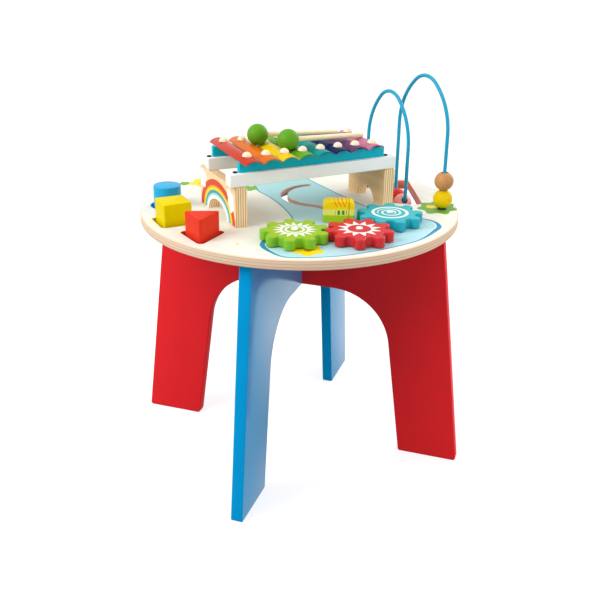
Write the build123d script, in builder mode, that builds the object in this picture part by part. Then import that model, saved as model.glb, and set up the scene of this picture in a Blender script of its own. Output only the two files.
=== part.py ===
from build123d import *
import os
from math import asin, atan2, cos, degrees, radians, sin, sqrt, tan

os.makedirs("parts", exist_ok=True)

# Millimetres, +Z up. The origin is on the floor under the middle of the board.
# X runs along the red leg panel and Y along the blue one.

# Board
top_diameter = 490.0
top_thickness = 15.0
table_height = 405.0
rim_round = 2.0

# Leg panels
panel_thickness = 18.0
foot_reach = 277.0
shoulder_reach = 228.0
foot_width = 96.0
foot_round = 4.0
arch_height = 276.0
arch_lean = 38.0
arch_radius = 95.0
lap_clearance = 0.2

# Angle brackets between panels and board
bracket_reach = 150.0
bracket_leg = 25.0
bracket_width = 18.0
bracket_sheet = 2.0
bracket_hole_offset = 15.0
bracket_screw_depth = 9.0

# Screws
screw_radius = 1.75
screw_head_radius = 3.5
screw_head_height = 2.0
support_screw_depth = 22.0
support_screw_inset = 16.0
rail_screw_depth = 14.0
rail_screw_gap = 5.0

# Xylophone supports, along and across the diagonal of the board
xylophone_heading = 45.0
support_thickness = 18.0
support_height = 60.0
support_corner = 3.0
support_inner_round = 6.0
support_front = -65.0
support_arch_height = 22.0
left_support_face = -134.0
left_support_depth = 141.0
left_arch_middle = 6.0
left_arch_half_width = 36.0
right_support_face = 112.0
right_support_depth = 110.0
right_arch_middle = -9.0
right_arch_half_width = 26.0

# Rails and the strips on them
rail_size = 19.0
rail_round = 1.5
front_rail_overhang = 7.5
front_rail_across = -56.0
rear_rail_overhang = 0.5
rear_rail_left_across = 45.1
rear_rail_right_across = 21.3
strip_depth = 9.0
strip_height = 16.0
strip_setback = 8.5
strip_right_inset = 18.0

# Sound bars
bar_names = ("red", "orange", "yellow", "green", "teal", "navy", "purple", "pink")
bar_pitch = 29.15
bar_gap = 2.0
bar_rise = 6.0
bar_sheet = 1.5
first_bar_along = -112.0
bar_lean = 2.5
first_bar_front = 31.0
first_bar_rear = 126.0
last_bar_front = 17.0
last_bar_rear = 94.0
bar_hole_radius = 2.4
pin_shank_radius = 2.0
pin_shank_depth = 11.0
pin_head_radius = 7.0
pin_head_height = 6.2

# Mallets
mallet_ball_radius = 15.7
stick_radius = 4.0
stick_reach = 136.0
stick_socket = 12.0
stick_end_round = 1.5
rest_gap = 0.2
first_mallet = {"valley": 1, "ball_across": 12.0, "rest_bar": 6, "rest_across": 13.0}
second_mallet = {"valley": 2, "ball_across": -37.0, "rest_bar": 7, "rest_across": -20.5}

# Shape blocks and their pockets
block_circle = 204.0
block_height = 42.0
block_edge = 1.5
pocket_depth = 10.0
pocket_clearance = 5.0
pocket_corner = 6.0
cylinder_diameter = 42.0
cylinder_heading = 201.0
cube_side = 42.0
cube_heading = 224.0
prism_side = 52.0
prism_corner = 3.0
prism_heading = 246.5
prism_turn = 51.0

# Gears
gear_teeth = 9
gear_spacing = 90.0
gear_lobe_circle = 40.5
gear_lobe_radius = 8.2
gear_root_radius = 37.0
gear_root_fillet = 3.0
gear_thickness = 14.0
gear_edge = 1.2
red_gear_x = 129.0
red_gear_y = -124.0
red_gear_phase = 86.6
green_gear_heading = 202.8
turquoise_gear_heading = 75.2
axle_radius = 3.2
axle_clearance = 0.1
axle_depth = 12.0
axle_head_radius = 5.0
axle_head_height = 1.8
axle_head_round = 1.0
washer_radius = 11.0
washer_thickness = 1.2
float_gap = 0.2

# Curved slot and the block that slides in it
slot_width = 11.0
slot_lip = 7.0
groove_width = 24.0
slot_middle_x = 16.0
slot_join_y = 2.0
slot_far_radius = 60.0
slot_far_end = 128.0
slot_near_radius = 63.0
slot_near_end = 6.0
slider_heading = 18.0
slider_length = 46.0
slider_depth = 22.0
slider_height = 32.0
slider_corner = 7.0
slider_edge = 1.0
peg_radius = 4.5
peg_socket = 10.0
peg_disc_radius = 10.0
peg_disc_height = 4.0
slider_screw_bite = 9.0

# Bead wire: the four upright runs, and the two humps and the dip that join them;
# the rises are heights above the board
wire_radius = 2.8
wire_start = Vector(71.9, 136.9)
dip_front = Vector(151.1, 73.6)
dip_rear = Vector(124.3, 124.5)
wire_end = Vector(213.0, 55.6)
first_hump_shoulder_rise = 86.4
first_hump_crown_rise = 164.7
second_hump_shoulder_rise = 114.2
second_hump_crown_rise = 194.4
hump_crown_share = 0.62
dip_shoulder_rise = 16.0
bush_flange_radius = 7.0
bush_flange_height = 2.5
bush_sleeve_radius = 4.5

# Beads
bead_radius = 14.7
bead_bore = 5.0

# Window in the board under the dip: corners and the radius of each
window_corners = ((183.0, 61.0), (130.5, 193.5), (112.0, 193.5), (107.0, 100.0), (126.0, 61.0))
window_radii = (14.0, 7.0, 9.0, 30.0, 12.0)

# Values that follow from those above
underside_z = table_height - top_thickness
foot_inner = foot_reach - foot_width
lap_z = (arch_height + underside_z) / 2
front_rail_left = left_support_face - front_rail_overhang
rear_rail_left = left_support_face - rear_rail_overhang
strip_left = left_support_face + strip_setback
rail_right = right_support_face + support_thickness
rail_z = table_height + support_height
strip_z = rail_z + rail_size
bar_z = strip_z + strip_height
bar_spacing = bar_pitch * cos(radians(bar_lean))
bar_half = (bar_spacing - bar_gap) / 2
bar_radius = (bar_half**2 + bar_rise**2) / (2 * bar_rise)
bar_crest_z = bar_z + bar_rise
pin_dome_radius = (pin_head_radius**2 + pin_head_height**2) / (2 * pin_head_height)
pocket_floor_z = table_height - pocket_depth
prism_radius = prism_side / sqrt(3)
gear_z = table_height + washer_thickness + float_gap
gear_top_z = gear_z + gear_thickness
groove_depth = top_thickness - slot_lip
slot_near_y = slot_join_y - slot_near_radius
slider_x = slot_middle_x + slot_near_radius * cos(radians(slot_near_end))
slider_y = slot_near_y + slot_near_radius * sin(radians(slot_near_end))
slider_z = table_height + float_gap
peg_disc_top = table_height - slot_lip - float_gap
peg_bottom = peg_disc_top - peg_disc_height
first_hump_spring = table_height + first_hump_shoulder_rise
first_hump_crown = table_height + first_hump_crown_rise
second_hump_spring = table_height + second_hump_shoulder_rise
second_hump_crown = table_height + second_hump_crown_rise
dip_spring = table_height + dip_shoulder_rise
bead_half = sqrt(bead_radius**2 - bead_bore**2)
dip_middle = (dip_front + dip_rear) / 2 + Vector(0, 0, dip_spring)
dip_along = (dip_rear - dip_front).normalized()
dip_radius = (dip_rear - dip_front).length / 2
dip_bead_radius = bead_bore - rest_gap + sqrt((dip_radius - wire_radius) ** 2 - bead_half**2)
dip_bead_angle = degrees(asin((bead_radius + rest_gap / 2) / dip_bead_radius))
up = Vector(0, 0, 1)

# Planes shared by several pieces
surface = Plane(origin=(0, 0, table_height))
underside = Plane(origin=(0, 0, underside_z))
pocket_floor = Plane(origin=(0, 0, pocket_floor_z))
along = Vector(cos(radians(xylophone_heading)), sin(radians(xylophone_heading)), 0)
across = Vector(-along.Y, along.X, 0)
bar_way = across * cos(radians(bar_lean)) + along * sin(radians(bar_lean))


def diagonal_point(along_mm, across_mm, z):
    """Point measured along and across the diagonal that the xylophone follows."""
    return along * along_mm + across * across_mm + up * z


def support_plane(along_mm):
    """Upright plane across the diagonal: X across, Y up, Z along the diagonal."""
    return Plane(origin=diagonal_point(along_mm, 0, table_height), x_dir=across, z_dir=along)


def rail_plane(left_along, left_across, right_across, z):
    """Level plane at the left end of a rail, with X along the rail."""
    start = diagonal_point(left_along, left_across, z)
    end = diagonal_point(rail_right, right_across, z)
    return Plane(origin=start, x_dir=end - start, z_dir=up)


def rail_length(left_along, left_across, right_across):
    """Length of a rail between its two ends."""
    return sqrt((rail_right - left_along) ** 2 + (right_across - left_across) ** 2)


def rear_pin_reach(along_mm):
    """How far along a bar the rear rail's middle line is from the front rail's."""
    fall = (rear_rail_right_across - rear_rail_left_across) / (rail_right - rear_rail_left)
    gap = rear_rail_left_across + fall * (along_mm - rear_rail_left) - front_rail_across
    return gap / (cos(radians(bar_lean)) - fall * sin(radians(bar_lean)))


def bar_point(index, reach, z):
    """Point on a bar's middle line, measured along the bar from the front rail's middle."""
    return diagonal_point(bar_along(index), front_rail_across, z) + bar_way * reach


def bar_crossing(index, across_mm):
    """Where a bar's middle line is along the diagonal at a place across it."""
    return bar_along(index) + (across_mm - front_rail_across) * tan(radians(bar_lean))


def bar_along(index):
    """Place of a sound bar's middle line along the diagonal."""
    return first_bar_along + index * bar_pitch


def bar_share(index):
    """How far a bar is from the longest one, as a share of the whole row."""
    return index / (len(bar_names) - 1)


def block_spot(heading, turn=0.0):
    """Place of a shape block on the board."""
    x = block_circle * cos(radians(heading))
    y = block_circle * sin(radians(heading))
    return Location((x, y, 0), (0, 0, turn))


def gear_spot(heading):
    """Centre of the gear that meshes with the red one on the given heading."""
    x = red_gear_x + gear_spacing * cos(radians(heading))
    y = red_gear_y + gear_spacing * sin(radians(heading))
    return (x, y)


def meshing_phase(heading):
    """Heading of a tooth that puts a gap of the follower on the red gear's tooth."""
    return 2 * heading - red_gear_phase + 180 + 180 / gear_teeth


def save(piece, name):
    """Names the piece and writes it as a file of its own."""
    piece.part.label = name
    export_step(piece.part, f"parts/{name}.step")


def draw_disc(plane, radius, amount, mode=Mode.ADD):
    """Adds or cuts a round stretch of the given radius from the plane along its normal."""
    with BuildSketch(plane) as disc:
        Circle(radius)
    extrude(disc.sketch, amount=amount, mode=mode)


def draw_screw(plane, depth):
    """Adds a pan-headed screw with its head under the plane and its shank along the normal."""
    draw_disc(plane, screw_radius, depth)
    draw_disc(plane, screw_head_radius, -screw_head_height)


# Screw places: the plane is where the head seats, its normal is the way the shank goes
support_screw_planes = []
for support_face, support_depth in (
    (left_support_face, left_support_depth),
    (right_support_face, right_support_depth),
):
    for inset in (support_screw_inset, support_depth - support_screw_inset):
        spot = diagonal_point(
            support_face + support_thickness / 2, support_front + inset, underside_z
        )
        support_screw_planes.append(Plane(origin=spot, z_dir=up))

bracket_planes = []
for side in (1, -1):
    bracket_planes.append(
        Plane(
            origin=(side * bracket_reach, panel_thickness / 2, underside_z),
            x_dir=(0, 1, 0),
            z_dir=(1, 0, 0),
        )
    )
    bracket_planes.append(
        Plane(
            origin=(-panel_thickness / 2, side * bracket_reach, underside_z),
            x_dir=(-1, 0, 0),
            z_dir=(0, 1, 0),
        )
    )


def board_screw_plane(bracket):
    """Seat of the bracket's screw that goes up into the board."""
    spot = bracket.from_local_coords(Vector(bracket_hole_offset, -bracket_sheet, 0))
    return Plane(origin=spot, z_dir=up)


def panel_screw_plane(bracket):
    """Seat of the bracket's screw that goes sideways into the panel."""
    spot = bracket.from_local_coords(Vector(bracket_sheet, -bracket_hole_offset, 0))
    return Plane(origin=spot, z_dir=bracket.x_dir * -1)


slot_arcs = (
    CenterArc(
        (slot_middle_x, slot_join_y + slot_far_radius),
        slot_far_radius,
        slot_far_end,
        270 - slot_far_end,
    ),
    CenterArc((slot_middle_x, slot_near_y), slot_near_radius, slot_near_end, 90 - slot_near_end),
)
gear_spots = (
    (red_gear_x, red_gear_y),
    gear_spot(green_gear_heading),
    gear_spot(turquoise_gear_heading),
)
wire_ends = (wire_start, wire_end)

# Tabletop
with BuildPart() as tabletop:
    with BuildSketch(underside):
        Circle(top_diameter / 2)
    extrude(amount=top_thickness)
    fillet(tabletop.edges(), rim_round)
    with BuildSketch(surface):
        with Locations(block_spot(cylinder_heading)):
            Circle(cylinder_diameter / 2 + pocket_clearance)
        with Locations(block_spot(cube_heading, xylophone_heading)):
            RectangleRounded(
                cube_side + 2 * pocket_clearance, cube_side + 2 * pocket_clearance, pocket_corner
            )
    extrude(amount=-pocket_depth, mode=Mode.SUBTRACT)
    with BuildSketch(surface) as prism_pocket:
        with Locations(block_spot(prism_heading, prism_turn)):
            RegularPolygon(prism_radius + 2 * pocket_clearance, 3)
        fillet(prism_pocket.vertices(), pocket_corner)
    extrude(amount=-pocket_depth, mode=Mode.SUBTRACT)
    with BuildSketch(surface):
        for arc in slot_arcs:
            SlotArc(arc, slot_width)
    extrude(amount=-top_thickness, mode=Mode.SUBTRACT)
    with BuildSketch(underside):
        for arc in slot_arcs:
            SlotArc(arc, groove_width)
    extrude(amount=groove_depth, mode=Mode.SUBTRACT)
    with BuildSketch(surface):
        with BuildLine():
            FilletPolyline(*window_corners, radius=window_radii, close=True)
        make_face()
        with Locations(*[(end.X, end.Y) for end in wire_ends]):
            Circle(bush_sleeve_radius)
    extrude(amount=-top_thickness, mode=Mode.SUBTRACT)
    with BuildSketch(surface):
        with Locations(*gear_spots):
            Circle(axle_radius)
    extrude(amount=-axle_depth, mode=Mode.SUBTRACT)
    for seat in support_screw_planes:
        draw_disc(seat, screw_radius, top_thickness, Mode.SUBTRACT)
    for bracket in bracket_planes:
        draw_disc(
            board_screw_plane(bracket),
            screw_radius,
            bracket_sheet + bracket_screw_depth,
            Mode.SUBTRACT,
        )
save(tabletop, "tabletop")


def draw_panel(plane):
    """Adds an arched leg panel that stands in the given plane."""
    with BuildSketch(plane) as outline:
        with BuildLine():
            Polyline(
                (-foot_reach, 0),
                (foot_reach, 0),
                (shoulder_reach, underside_z),
                (-shoulder_reach, underside_z),
                close=True,
            )
        make_face()
        with BuildLine():
            Polyline(
                (-foot_inner, 0),
                (foot_inner, 0),
                (foot_inner - arch_lean, arch_height),
                (arch_lean - foot_inner, arch_height),
                close=True,
            )
        make_face(mode=Mode.SUBTRACT)
        fillet(outline.vertices().group_by(Axis.Y)[0], foot_round)
        fillet(outline.vertices().group_by(Axis.Y)[-2], arch_radius)
    extrude(outline.sketch, amount=panel_thickness / 2, both=True)


def cut_panel_screws(brackets):
    """Cuts the pilot holes of the brackets that are fixed to the panel."""
    for bracket in brackets:
        draw_disc(
            panel_screw_plane(bracket),
            screw_radius,
            bracket_sheet + bracket_screw_depth,
            Mode.SUBTRACT,
        )


# Leg panels, halved over each other at the middle
with BuildPart() as red_leg_panel:
    draw_panel(Plane.XZ)
    with BuildSketch(underside):
        Rectangle(panel_thickness + lap_clearance, panel_thickness)
    extrude(amount=lap_z - underside_z, mode=Mode.SUBTRACT)
    cut_panel_screws(bracket_planes[0::2])
save(red_leg_panel, "red_leg_panel")

with BuildPart() as blue_leg_panel:
    draw_panel(Plane.YZ)
    with BuildSketch(Plane(origin=(0, 0, arch_height))):
        Rectangle(panel_thickness, panel_thickness + lap_clearance)
    extrude(amount=lap_z - arch_height, mode=Mode.SUBTRACT)
    cut_panel_screws(bracket_planes[1::2])
save(blue_leg_panel, "blue_leg_panel")

# Angle brackets, one on each arm of the panels
with BuildPart() as leg_brackets:
    for bracket in bracket_planes:
        with BuildSketch(bracket):
            with BuildLine():
                Polyline(
                    (0, 0),
                    (bracket_leg, 0),
                    (bracket_leg, -bracket_sheet),
                    (bracket_sheet, -bracket_sheet),
                    (bracket_sheet, -bracket_leg),
                    (0, -bracket_leg),
                    close=True,
                )
            make_face()
        extrude(amount=bracket_width / 2, both=True)
        draw_disc(board_screw_plane(bracket), screw_radius, bracket_sheet, Mode.SUBTRACT)
        draw_disc(panel_screw_plane(bracket), screw_radius, bracket_sheet, Mode.SUBTRACT)
save(leg_brackets, "leg_brackets")

with BuildPart() as bracket_screws:
    for bracket in bracket_planes:
        draw_screw(board_screw_plane(bracket), bracket_sheet + bracket_screw_depth)
        draw_screw(panel_screw_plane(bracket), bracket_sheet + bracket_screw_depth)
save(bracket_screws, "bracket_screws")

# Places of the rail screws: a plane on top of each rail end, its normal pointing down
rail_ends = (
    (front_rail_left, front_rail_across, front_rail_across),
    (rear_rail_left, rear_rail_left_across, rear_rail_right_across),
)
rail_screw_planes = []
for ends in rail_ends:
    rail_top = rail_plane(*ends, strip_z)
    left_reach = strip_left - ends[0] - rail_screw_gap
    for reach in (left_reach, rail_length(*ends) - strip_right_inset + rail_screw_gap):
        spot = rail_top.from_local_coords(Vector(reach, 0, 0))
        rail_screw_planes.append(Plane(origin=spot, z_dir=up * -1))


def draw_support(support, face, depth, arch_middle, arch_half_width):
    """Adds a xylophone support with its arch and rounded inner edge, and cuts its screw holes."""
    with BuildSketch(support_plane(face)) as outline:
        with Locations((support_front, 0)):
            Rectangle(depth, support_height, align=(Align.MIN, Align.MIN))
        fillet(outline.vertices().group_by(Axis.Y)[-1], support_corner)
        with Locations((arch_middle, 0)):
            Ellipse(arch_half_width, support_arch_height, mode=Mode.SUBTRACT)
    extrude(outline.sketch, amount=support_thickness)
    inner_edge = support.edges().filter_by(Axis((0, 0, 0), across)).group_by(Axis.Z)[-1]
    fillet(inner_edge.sort_by_distance((0, 0, rail_z))[0], support_inner_round)
    for seat in support_screw_planes:
        draw_disc(seat, screw_radius, top_thickness + support_screw_depth, Mode.SUBTRACT)
    for seat in rail_screw_planes:
        draw_disc(seat, screw_radius, rail_size + rail_screw_depth, Mode.SUBTRACT)


# Xylophone supports
with BuildPart() as xylophone_left_support:
    draw_support(
        xylophone_left_support,
        left_support_face,
        left_support_depth,
        left_arch_middle,
        left_arch_half_width,
    )
save(xylophone_left_support, "xylophone_left_support")

with BuildPart() as xylophone_right_support:
    draw_support(
        xylophone_right_support,
        right_support_face,
        right_support_depth,
        right_arch_middle,
        right_arch_half_width,
    )
save(xylophone_right_support, "xylophone_right_support")

with BuildPart() as support_screws:
    for seat in support_screw_planes:
        draw_screw(seat, top_thickness + support_screw_depth)
save(support_screws, "support_screws")

# Pin places: where each bar crosses the middle line of each rail
pin_rows = ([], [])
for index in range(len(bar_names)):
    pin_rows[0].append(bar_point(index, 0, bar_crest_z))
    pin_rows[1].append(bar_point(index, rear_pin_reach(bar_along(index)), bar_crest_z))

# Rails and strips
for name, ends, pins in zip(("front", "rear"), rail_ends, pin_rows):
    length = rail_length(*ends)
    with BuildPart() as rail:
        with BuildSketch(rail_plane(*ends, rail_z)):
            Rectangle(length, rail_size, align=(Align.MIN, Align.CENTER))
        extrude(amount=rail_size)
        fillet(rail.edges().filter_by(Axis((0, 0, 0), rail_plane(*ends, 0).x_dir)), rail_round)
        for seat in rail_screw_planes:
            draw_disc(seat, screw_radius, rail_size, Mode.SUBTRACT)
    save(rail, f"{name}_rail")

    with BuildPart() as strip:
        with BuildSketch(rail_plane(*ends, strip_z)):
            with Locations((strip_left - ends[0], 0)):
                Rectangle(
                    length - (strip_left - ends[0]) - strip_right_inset,
                    strip_depth,
                    align=(Align.MIN, Align.CENTER),
                )
        extrude(amount=strip_height)
        for pin in pins:
            hole = Plane(origin=(pin.X, pin.Y, bar_z))
            draw_disc(hole, pin_shank_radius, -pin_shank_depth, Mode.SUBTRACT)
    save(strip, f"{name}_strip")

with BuildPart() as rail_screws:
    for seat in rail_screw_planes:
        draw_screw(seat, rail_size + rail_screw_depth)
save(rail_screws, "rail_screws")

# Sound bars, arched across and cut shorter along the row
for index, name in enumerate(bar_names):
    share = bar_share(index)
    bar_front = first_bar_front + share * (last_bar_front - first_bar_front)
    bar_rear = first_bar_rear + share * (last_bar_rear - first_bar_rear)
    front_end = bar_point(index, -bar_front, bar_z)
    inner_half = sqrt((bar_radius - bar_sheet) ** 2 - (bar_radius - bar_rise) ** 2)
    with BuildPart() as bar:
        with BuildSketch(Plane(origin=front_end, x_dir=up.cross(bar_way), z_dir=bar_way)):
            with BuildLine():
                ThreePointArc((-bar_half, 0), (0, bar_rise), (bar_half, 0))
                Line((bar_half, 0), (inner_half, 0))
                ThreePointArc((inner_half, 0), (0, bar_rise - bar_sheet), (-inner_half, 0))
                Line((-inner_half, 0), (-bar_half, 0))
            make_face()
        extrude(amount=bar_rear + bar_front)
        for row in pin_rows:
            draw_disc(Plane(origin=row[index]), bar_hole_radius, -bar_rise, Mode.SUBTRACT)
    save(bar, f"bar_{name}")

with BuildPart() as bar_pins:
    for row in pin_rows:
        for pin in row:
            with BuildSketch(Plane(origin=pin, x_dir=along, z_dir=across * -1)):
                with BuildLine():
                    dome_middle = pin_head_height - pin_dome_radius
                    CenterArc(
                        (0, dome_middle),
                        pin_dome_radius,
                        degrees(atan2(-dome_middle, pin_head_radius)),
                        90 - degrees(atan2(-dome_middle, pin_head_radius)),
                    )
                    Polyline(
                        (0, pin_head_height),
                        (0, -bar_rise - pin_shank_depth),
                        (pin_shank_radius, -bar_rise - pin_shank_depth),
                        (pin_shank_radius, 0),
                        (pin_head_radius, 0),
                    )
                make_face()
            revolve(axis=Axis(pin, up))
save(bar_pins, "bar_pins")

# Mallets: the ball lies in the valley between two bars, the stick on the crest of another
for number, mallet in enumerate((first_mallet, second_mallet), start=1):
    reach = bar_radius + mallet_ball_radius + rest_gap
    ball = diagonal_point(
        bar_crossing(mallet["valley"] + 1 / 2, mallet["ball_across"]),
        mallet["ball_across"],
        bar_crest_z - bar_radius + sqrt(reach**2 - (bar_spacing / 2) ** 2),
    )
    rest = diagonal_point(
        bar_crossing(mallet["rest_bar"], mallet["rest_across"]),
        mallet["rest_across"],
        bar_crest_z + stick_radius + rest_gap,
    )
    pointing = (rest - ball).normalized()
    sideways = pointing.cross(up).normalized()
    upright = Plane(origin=ball, x_dir=sideways, z_dir=sideways.cross(pointing))
    socket_floor = mallet_ball_radius - stick_socket
    socket_mouth = sqrt(mallet_ball_radius**2 - stick_radius**2)
    with BuildPart() as mallet_head:
        with BuildSketch(upright):
            with BuildLine():
                ThreePointArc(
                    (0, -mallet_ball_radius), (mallet_ball_radius, 0), (stick_radius, socket_mouth)
                )
                Polyline(
                    (stick_radius, socket_mouth),
                    (stick_radius, socket_floor),
                    (0, socket_floor),
                    (0, -mallet_ball_radius),
                )
            make_face()
        revolve(axis=Axis(ball, pointing))
    save(mallet_head, f"mallet_head_{number}")

    with BuildPart() as mallet_stick:
        with BuildSketch(Plane(origin=ball + pointing * socket_floor, z_dir=pointing)):
            Circle(stick_radius)
        extrude(amount=stick_reach - socket_floor)
        tip = mallet_stick.edges().sort_by_distance(ball)[-1]
        fillet(tip, stick_end_round)
    save(mallet_stick, f"mallet_stick_{number}")

# Shape blocks
with BuildPart() as block_cylinder:
    with BuildSketch(pocket_floor):
        with Locations(block_spot(cylinder_heading)):
            Circle(cylinder_diameter / 2)
    extrude(amount=block_height)
    fillet(block_cylinder.edges().group_by(Axis.Z)[-1], block_edge)
save(block_cylinder, "block_cylinder")

with BuildPart() as block_cube:
    with BuildSketch(pocket_floor):
        with Locations(block_spot(cube_heading, xylophone_heading)):
            Rectangle(cube_side, cube_side)
    extrude(amount=block_height)
    fillet(block_cube.edges(), block_edge)
save(block_cube, "block_cube")

with BuildPart() as block_prism:
    with BuildSketch(pocket_floor) as prism_outline:
        with Locations(block_spot(prism_heading, prism_turn)):
            RegularPolygon(prism_radius, 3)
        fillet(prism_outline.vertices(), prism_corner)
    extrude(amount=block_height)
    fillet(block_prism.faces().sort_by(Axis.Z)[-1].edges(), block_edge)
save(block_prism, "block_prism")

# Gears: lobed teeth, each follower turned so that its gap meets the red gear's tooth
gear_names = ("gear_red", "gear_green", "gear_turquoise")
gear_phases = (
    red_gear_phase,
    meshing_phase(green_gear_heading),
    meshing_phase(turquoise_gear_heading),
)
for name, spot, phase in zip(gear_names, gear_spots, gear_phases):
    facing = (cos(radians(phase)), sin(radians(phase)), 0)
    with BuildPart() as gear:
        with BuildSketch(Plane(origin=(*spot, gear_z), x_dir=facing, z_dir=up)) as outline:
            Circle(gear_root_radius)
            with PolarLocations(gear_lobe_circle, gear_teeth):
                Circle(gear_lobe_radius)
            fillet(outline.vertices(), gear_root_fillet)
        extrude(amount=gear_thickness)
        chamfer(gear.faces().sort_by(Axis.Z)[-1].edges(), gear_edge)
        bore = Plane(origin=(*spot, gear_z))
        draw_disc(bore, axle_radius + axle_clearance, gear_thickness, Mode.SUBTRACT)
    save(gear, name)

with BuildPart() as gear_axles:
    for spot in gear_spots:
        head_seat = Plane(origin=(*spot, gear_top_z + float_gap))
        draw_disc(head_seat, axle_radius, table_height - axle_depth - gear_top_z - float_gap)
        draw_disc(head_seat, axle_head_radius, axle_head_height)
    fillet(gear_axles.edges().group_by(Axis.Z)[-1], axle_head_round)
save(gear_axles, "gear_axles")

with BuildPart() as gear_washers:
    with BuildSketch(surface):
        with Locations(*gear_spots):
            Circle(washer_radius)
            Circle(axle_radius, mode=Mode.SUBTRACT)
    extrude(amount=washer_thickness)
save(gear_washers, "gear_washers")

# Slider: a block on the board, a headed peg that runs under the slot's lips, and their screw
slider_spot = Vector(slider_x, slider_y, slider_z)
slider_foot = Plane(origin=slider_spot)
slider_way = Vector(cos(radians(slider_heading)), sin(radians(slider_heading)), 0)
with BuildPart() as slider_block:
    with BuildSketch(Plane(origin=slider_spot, x_dir=slider_way, z_dir=slider_way.cross(up))) as outline:
        Rectangle(slider_length, slider_height, align=(Align.CENTER, Align.MIN))
        fillet(outline.vertices().group_by(Axis.Y)[-1], slider_corner)
    extrude(amount=slider_depth / 2, both=True)
    chamfer(slider_block.edges().filter_by(GeomType.CIRCLE), slider_edge)
    draw_disc(slider_foot, peg_radius, peg_socket, Mode.SUBTRACT)
    draw_disc(slider_foot, screw_radius, peg_socket + slider_screw_bite, Mode.SUBTRACT)
save(slider_block, "slider_block")

peg_foot = Plane(origin=(slider_x, slider_y, peg_bottom))
peg_length = slider_z + peg_socket - peg_bottom
with BuildPart() as slider_peg:
    draw_disc(peg_foot, peg_radius, peg_length)
    draw_disc(peg_foot, peg_disc_radius, peg_disc_height)
    draw_disc(peg_foot, screw_radius, peg_length, Mode.SUBTRACT)
save(slider_peg, "slider_peg")

with BuildPart() as slider_screw:
    draw_screw(peg_foot, peg_length + slider_screw_bite)
save(slider_screw, "slider_screw")


def hump(start, end, spring, crown):
    """Path of a hump: three tangent arcs between two upright runs of the wire."""
    middle = (start + end) / 2 + up * spring
    level = (end - start).normalized()
    half = (end - start).length / 2
    rise = crown - spring
    crown_radius = hump_crown_share * half
    side_radius = (half**2 + rise**2 - 2 * rise * crown_radius) / (2 * (half - crown_radius))
    swing = degrees(atan2(rise - crown_radius, side_radius - half))
    plane = Plane(origin=middle, x_dir=level, z_dir=level.cross(up))
    with BuildLine(plane) as arcs:
        CenterArc((side_radius - half, 0), side_radius, 180 - swing, swing)
        CenterArc((0, rise - crown_radius), crown_radius, swing, 180 - 2 * swing)
        CenterArc((half - side_radius, 0), side_radius, 0, swing)
    return arcs.line


# Bead wire, one bent rod
with BuildPart() as bead_wire:
    with BuildLine() as wire_path:
        Line(wire_start + up * underside_z, wire_start + up * first_hump_spring)
        add(hump(wire_start, dip_front, first_hump_spring, first_hump_crown))
        Line(dip_front + up * first_hump_spring, dip_front + up * dip_spring)
        ThreePointArc(
            dip_front + up * dip_spring, dip_middle - up * dip_radius, dip_rear + up * dip_spring
        )
        Line(dip_rear + up * dip_spring, dip_rear + up * second_hump_spring)
        add(hump(dip_rear, wire_end, second_hump_spring, second_hump_crown))
        Line(wire_end + up * second_hump_spring, wire_end + up * underside_z)
    with BuildSketch(Plane(origin=wire_start + up * underside_z)):
        Circle(wire_radius)
    sweep(path=wire_path.wires()[0])
save(bead_wire, "bead_wire")

with BuildPart() as wire_bushes:
    for end in wire_ends:
        foot = Plane(origin=(end.X, end.Y, underside_z))
        draw_disc(foot, bush_sleeve_radius, top_thickness)
        draw_disc(Plane(origin=(end.X, end.Y, table_height)), bush_flange_radius, bush_flange_height)
        draw_disc(foot, wire_radius, top_thickness + bush_flange_height, Mode.SUBTRACT)
save(wire_bushes, "wire_bushes")


def draw_bead(middle, outward, axis):
    """Adds a bored round bead whose bore runs along the axis."""
    plane = Plane(origin=middle, x_dir=outward, z_dir=outward.cross(axis))
    with BuildSketch(plane) as profile:
        with BuildLine():
            ThreePointArc((bead_bore, -bead_half), (bead_radius, 0), (bead_bore, bead_half))
            Line((bead_bore, bead_half), (bead_bore, -bead_half))
        make_face()
    revolve(profile.sketch, axis=Axis(middle, axis))


# Beads: two stacked at the foot of the wire's end, two side by side in the dip
yellow_z = table_height + bush_flange_height + rest_gap + bead_half
natural_z = yellow_z + 2 * bead_half + rest_gap
for name, z in (("bead_yellow", yellow_z), ("bead_natural", natural_z)):
    with BuildPart() as bead:
        draw_bead(wire_end + up * z, Vector(1, 0, 0), up)
    save(bead, name)

for name, angle in (("bead_pink", -dip_bead_angle), ("bead_red", dip_bead_angle)):
    outward = dip_along * sin(radians(angle)) - up * cos(radians(angle))
    tangent = dip_along * cos(radians(angle)) + up * sin(radians(angle))
    with BuildPart() as bead:
        draw_bead(dip_middle + outward * dip_bead_radius, outward, tangent)
    save(bead, name)
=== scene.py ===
import math

import bmesh
import bpy
import numpy as np
from mathutils import Matrix, Vector
from mathutils.geometry import delaunay_2d_cdt


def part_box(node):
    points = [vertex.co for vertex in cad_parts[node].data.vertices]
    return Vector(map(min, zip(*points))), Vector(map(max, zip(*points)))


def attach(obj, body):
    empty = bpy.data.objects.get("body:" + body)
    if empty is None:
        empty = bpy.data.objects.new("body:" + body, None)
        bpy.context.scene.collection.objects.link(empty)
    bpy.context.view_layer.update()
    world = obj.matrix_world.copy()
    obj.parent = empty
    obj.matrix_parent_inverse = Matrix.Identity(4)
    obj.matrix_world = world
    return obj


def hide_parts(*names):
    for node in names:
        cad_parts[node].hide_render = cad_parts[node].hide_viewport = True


bl_info = {
    "name": "Play table",
    "version": (1, 0, 0),
    "blender": (4, 5, 0),
    "location": "View3D > Sidebar > Play table",
    "description": "Round play table with xylophone, gears, blocks, slider and bead wire",
    "category": "Object",
}

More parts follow.
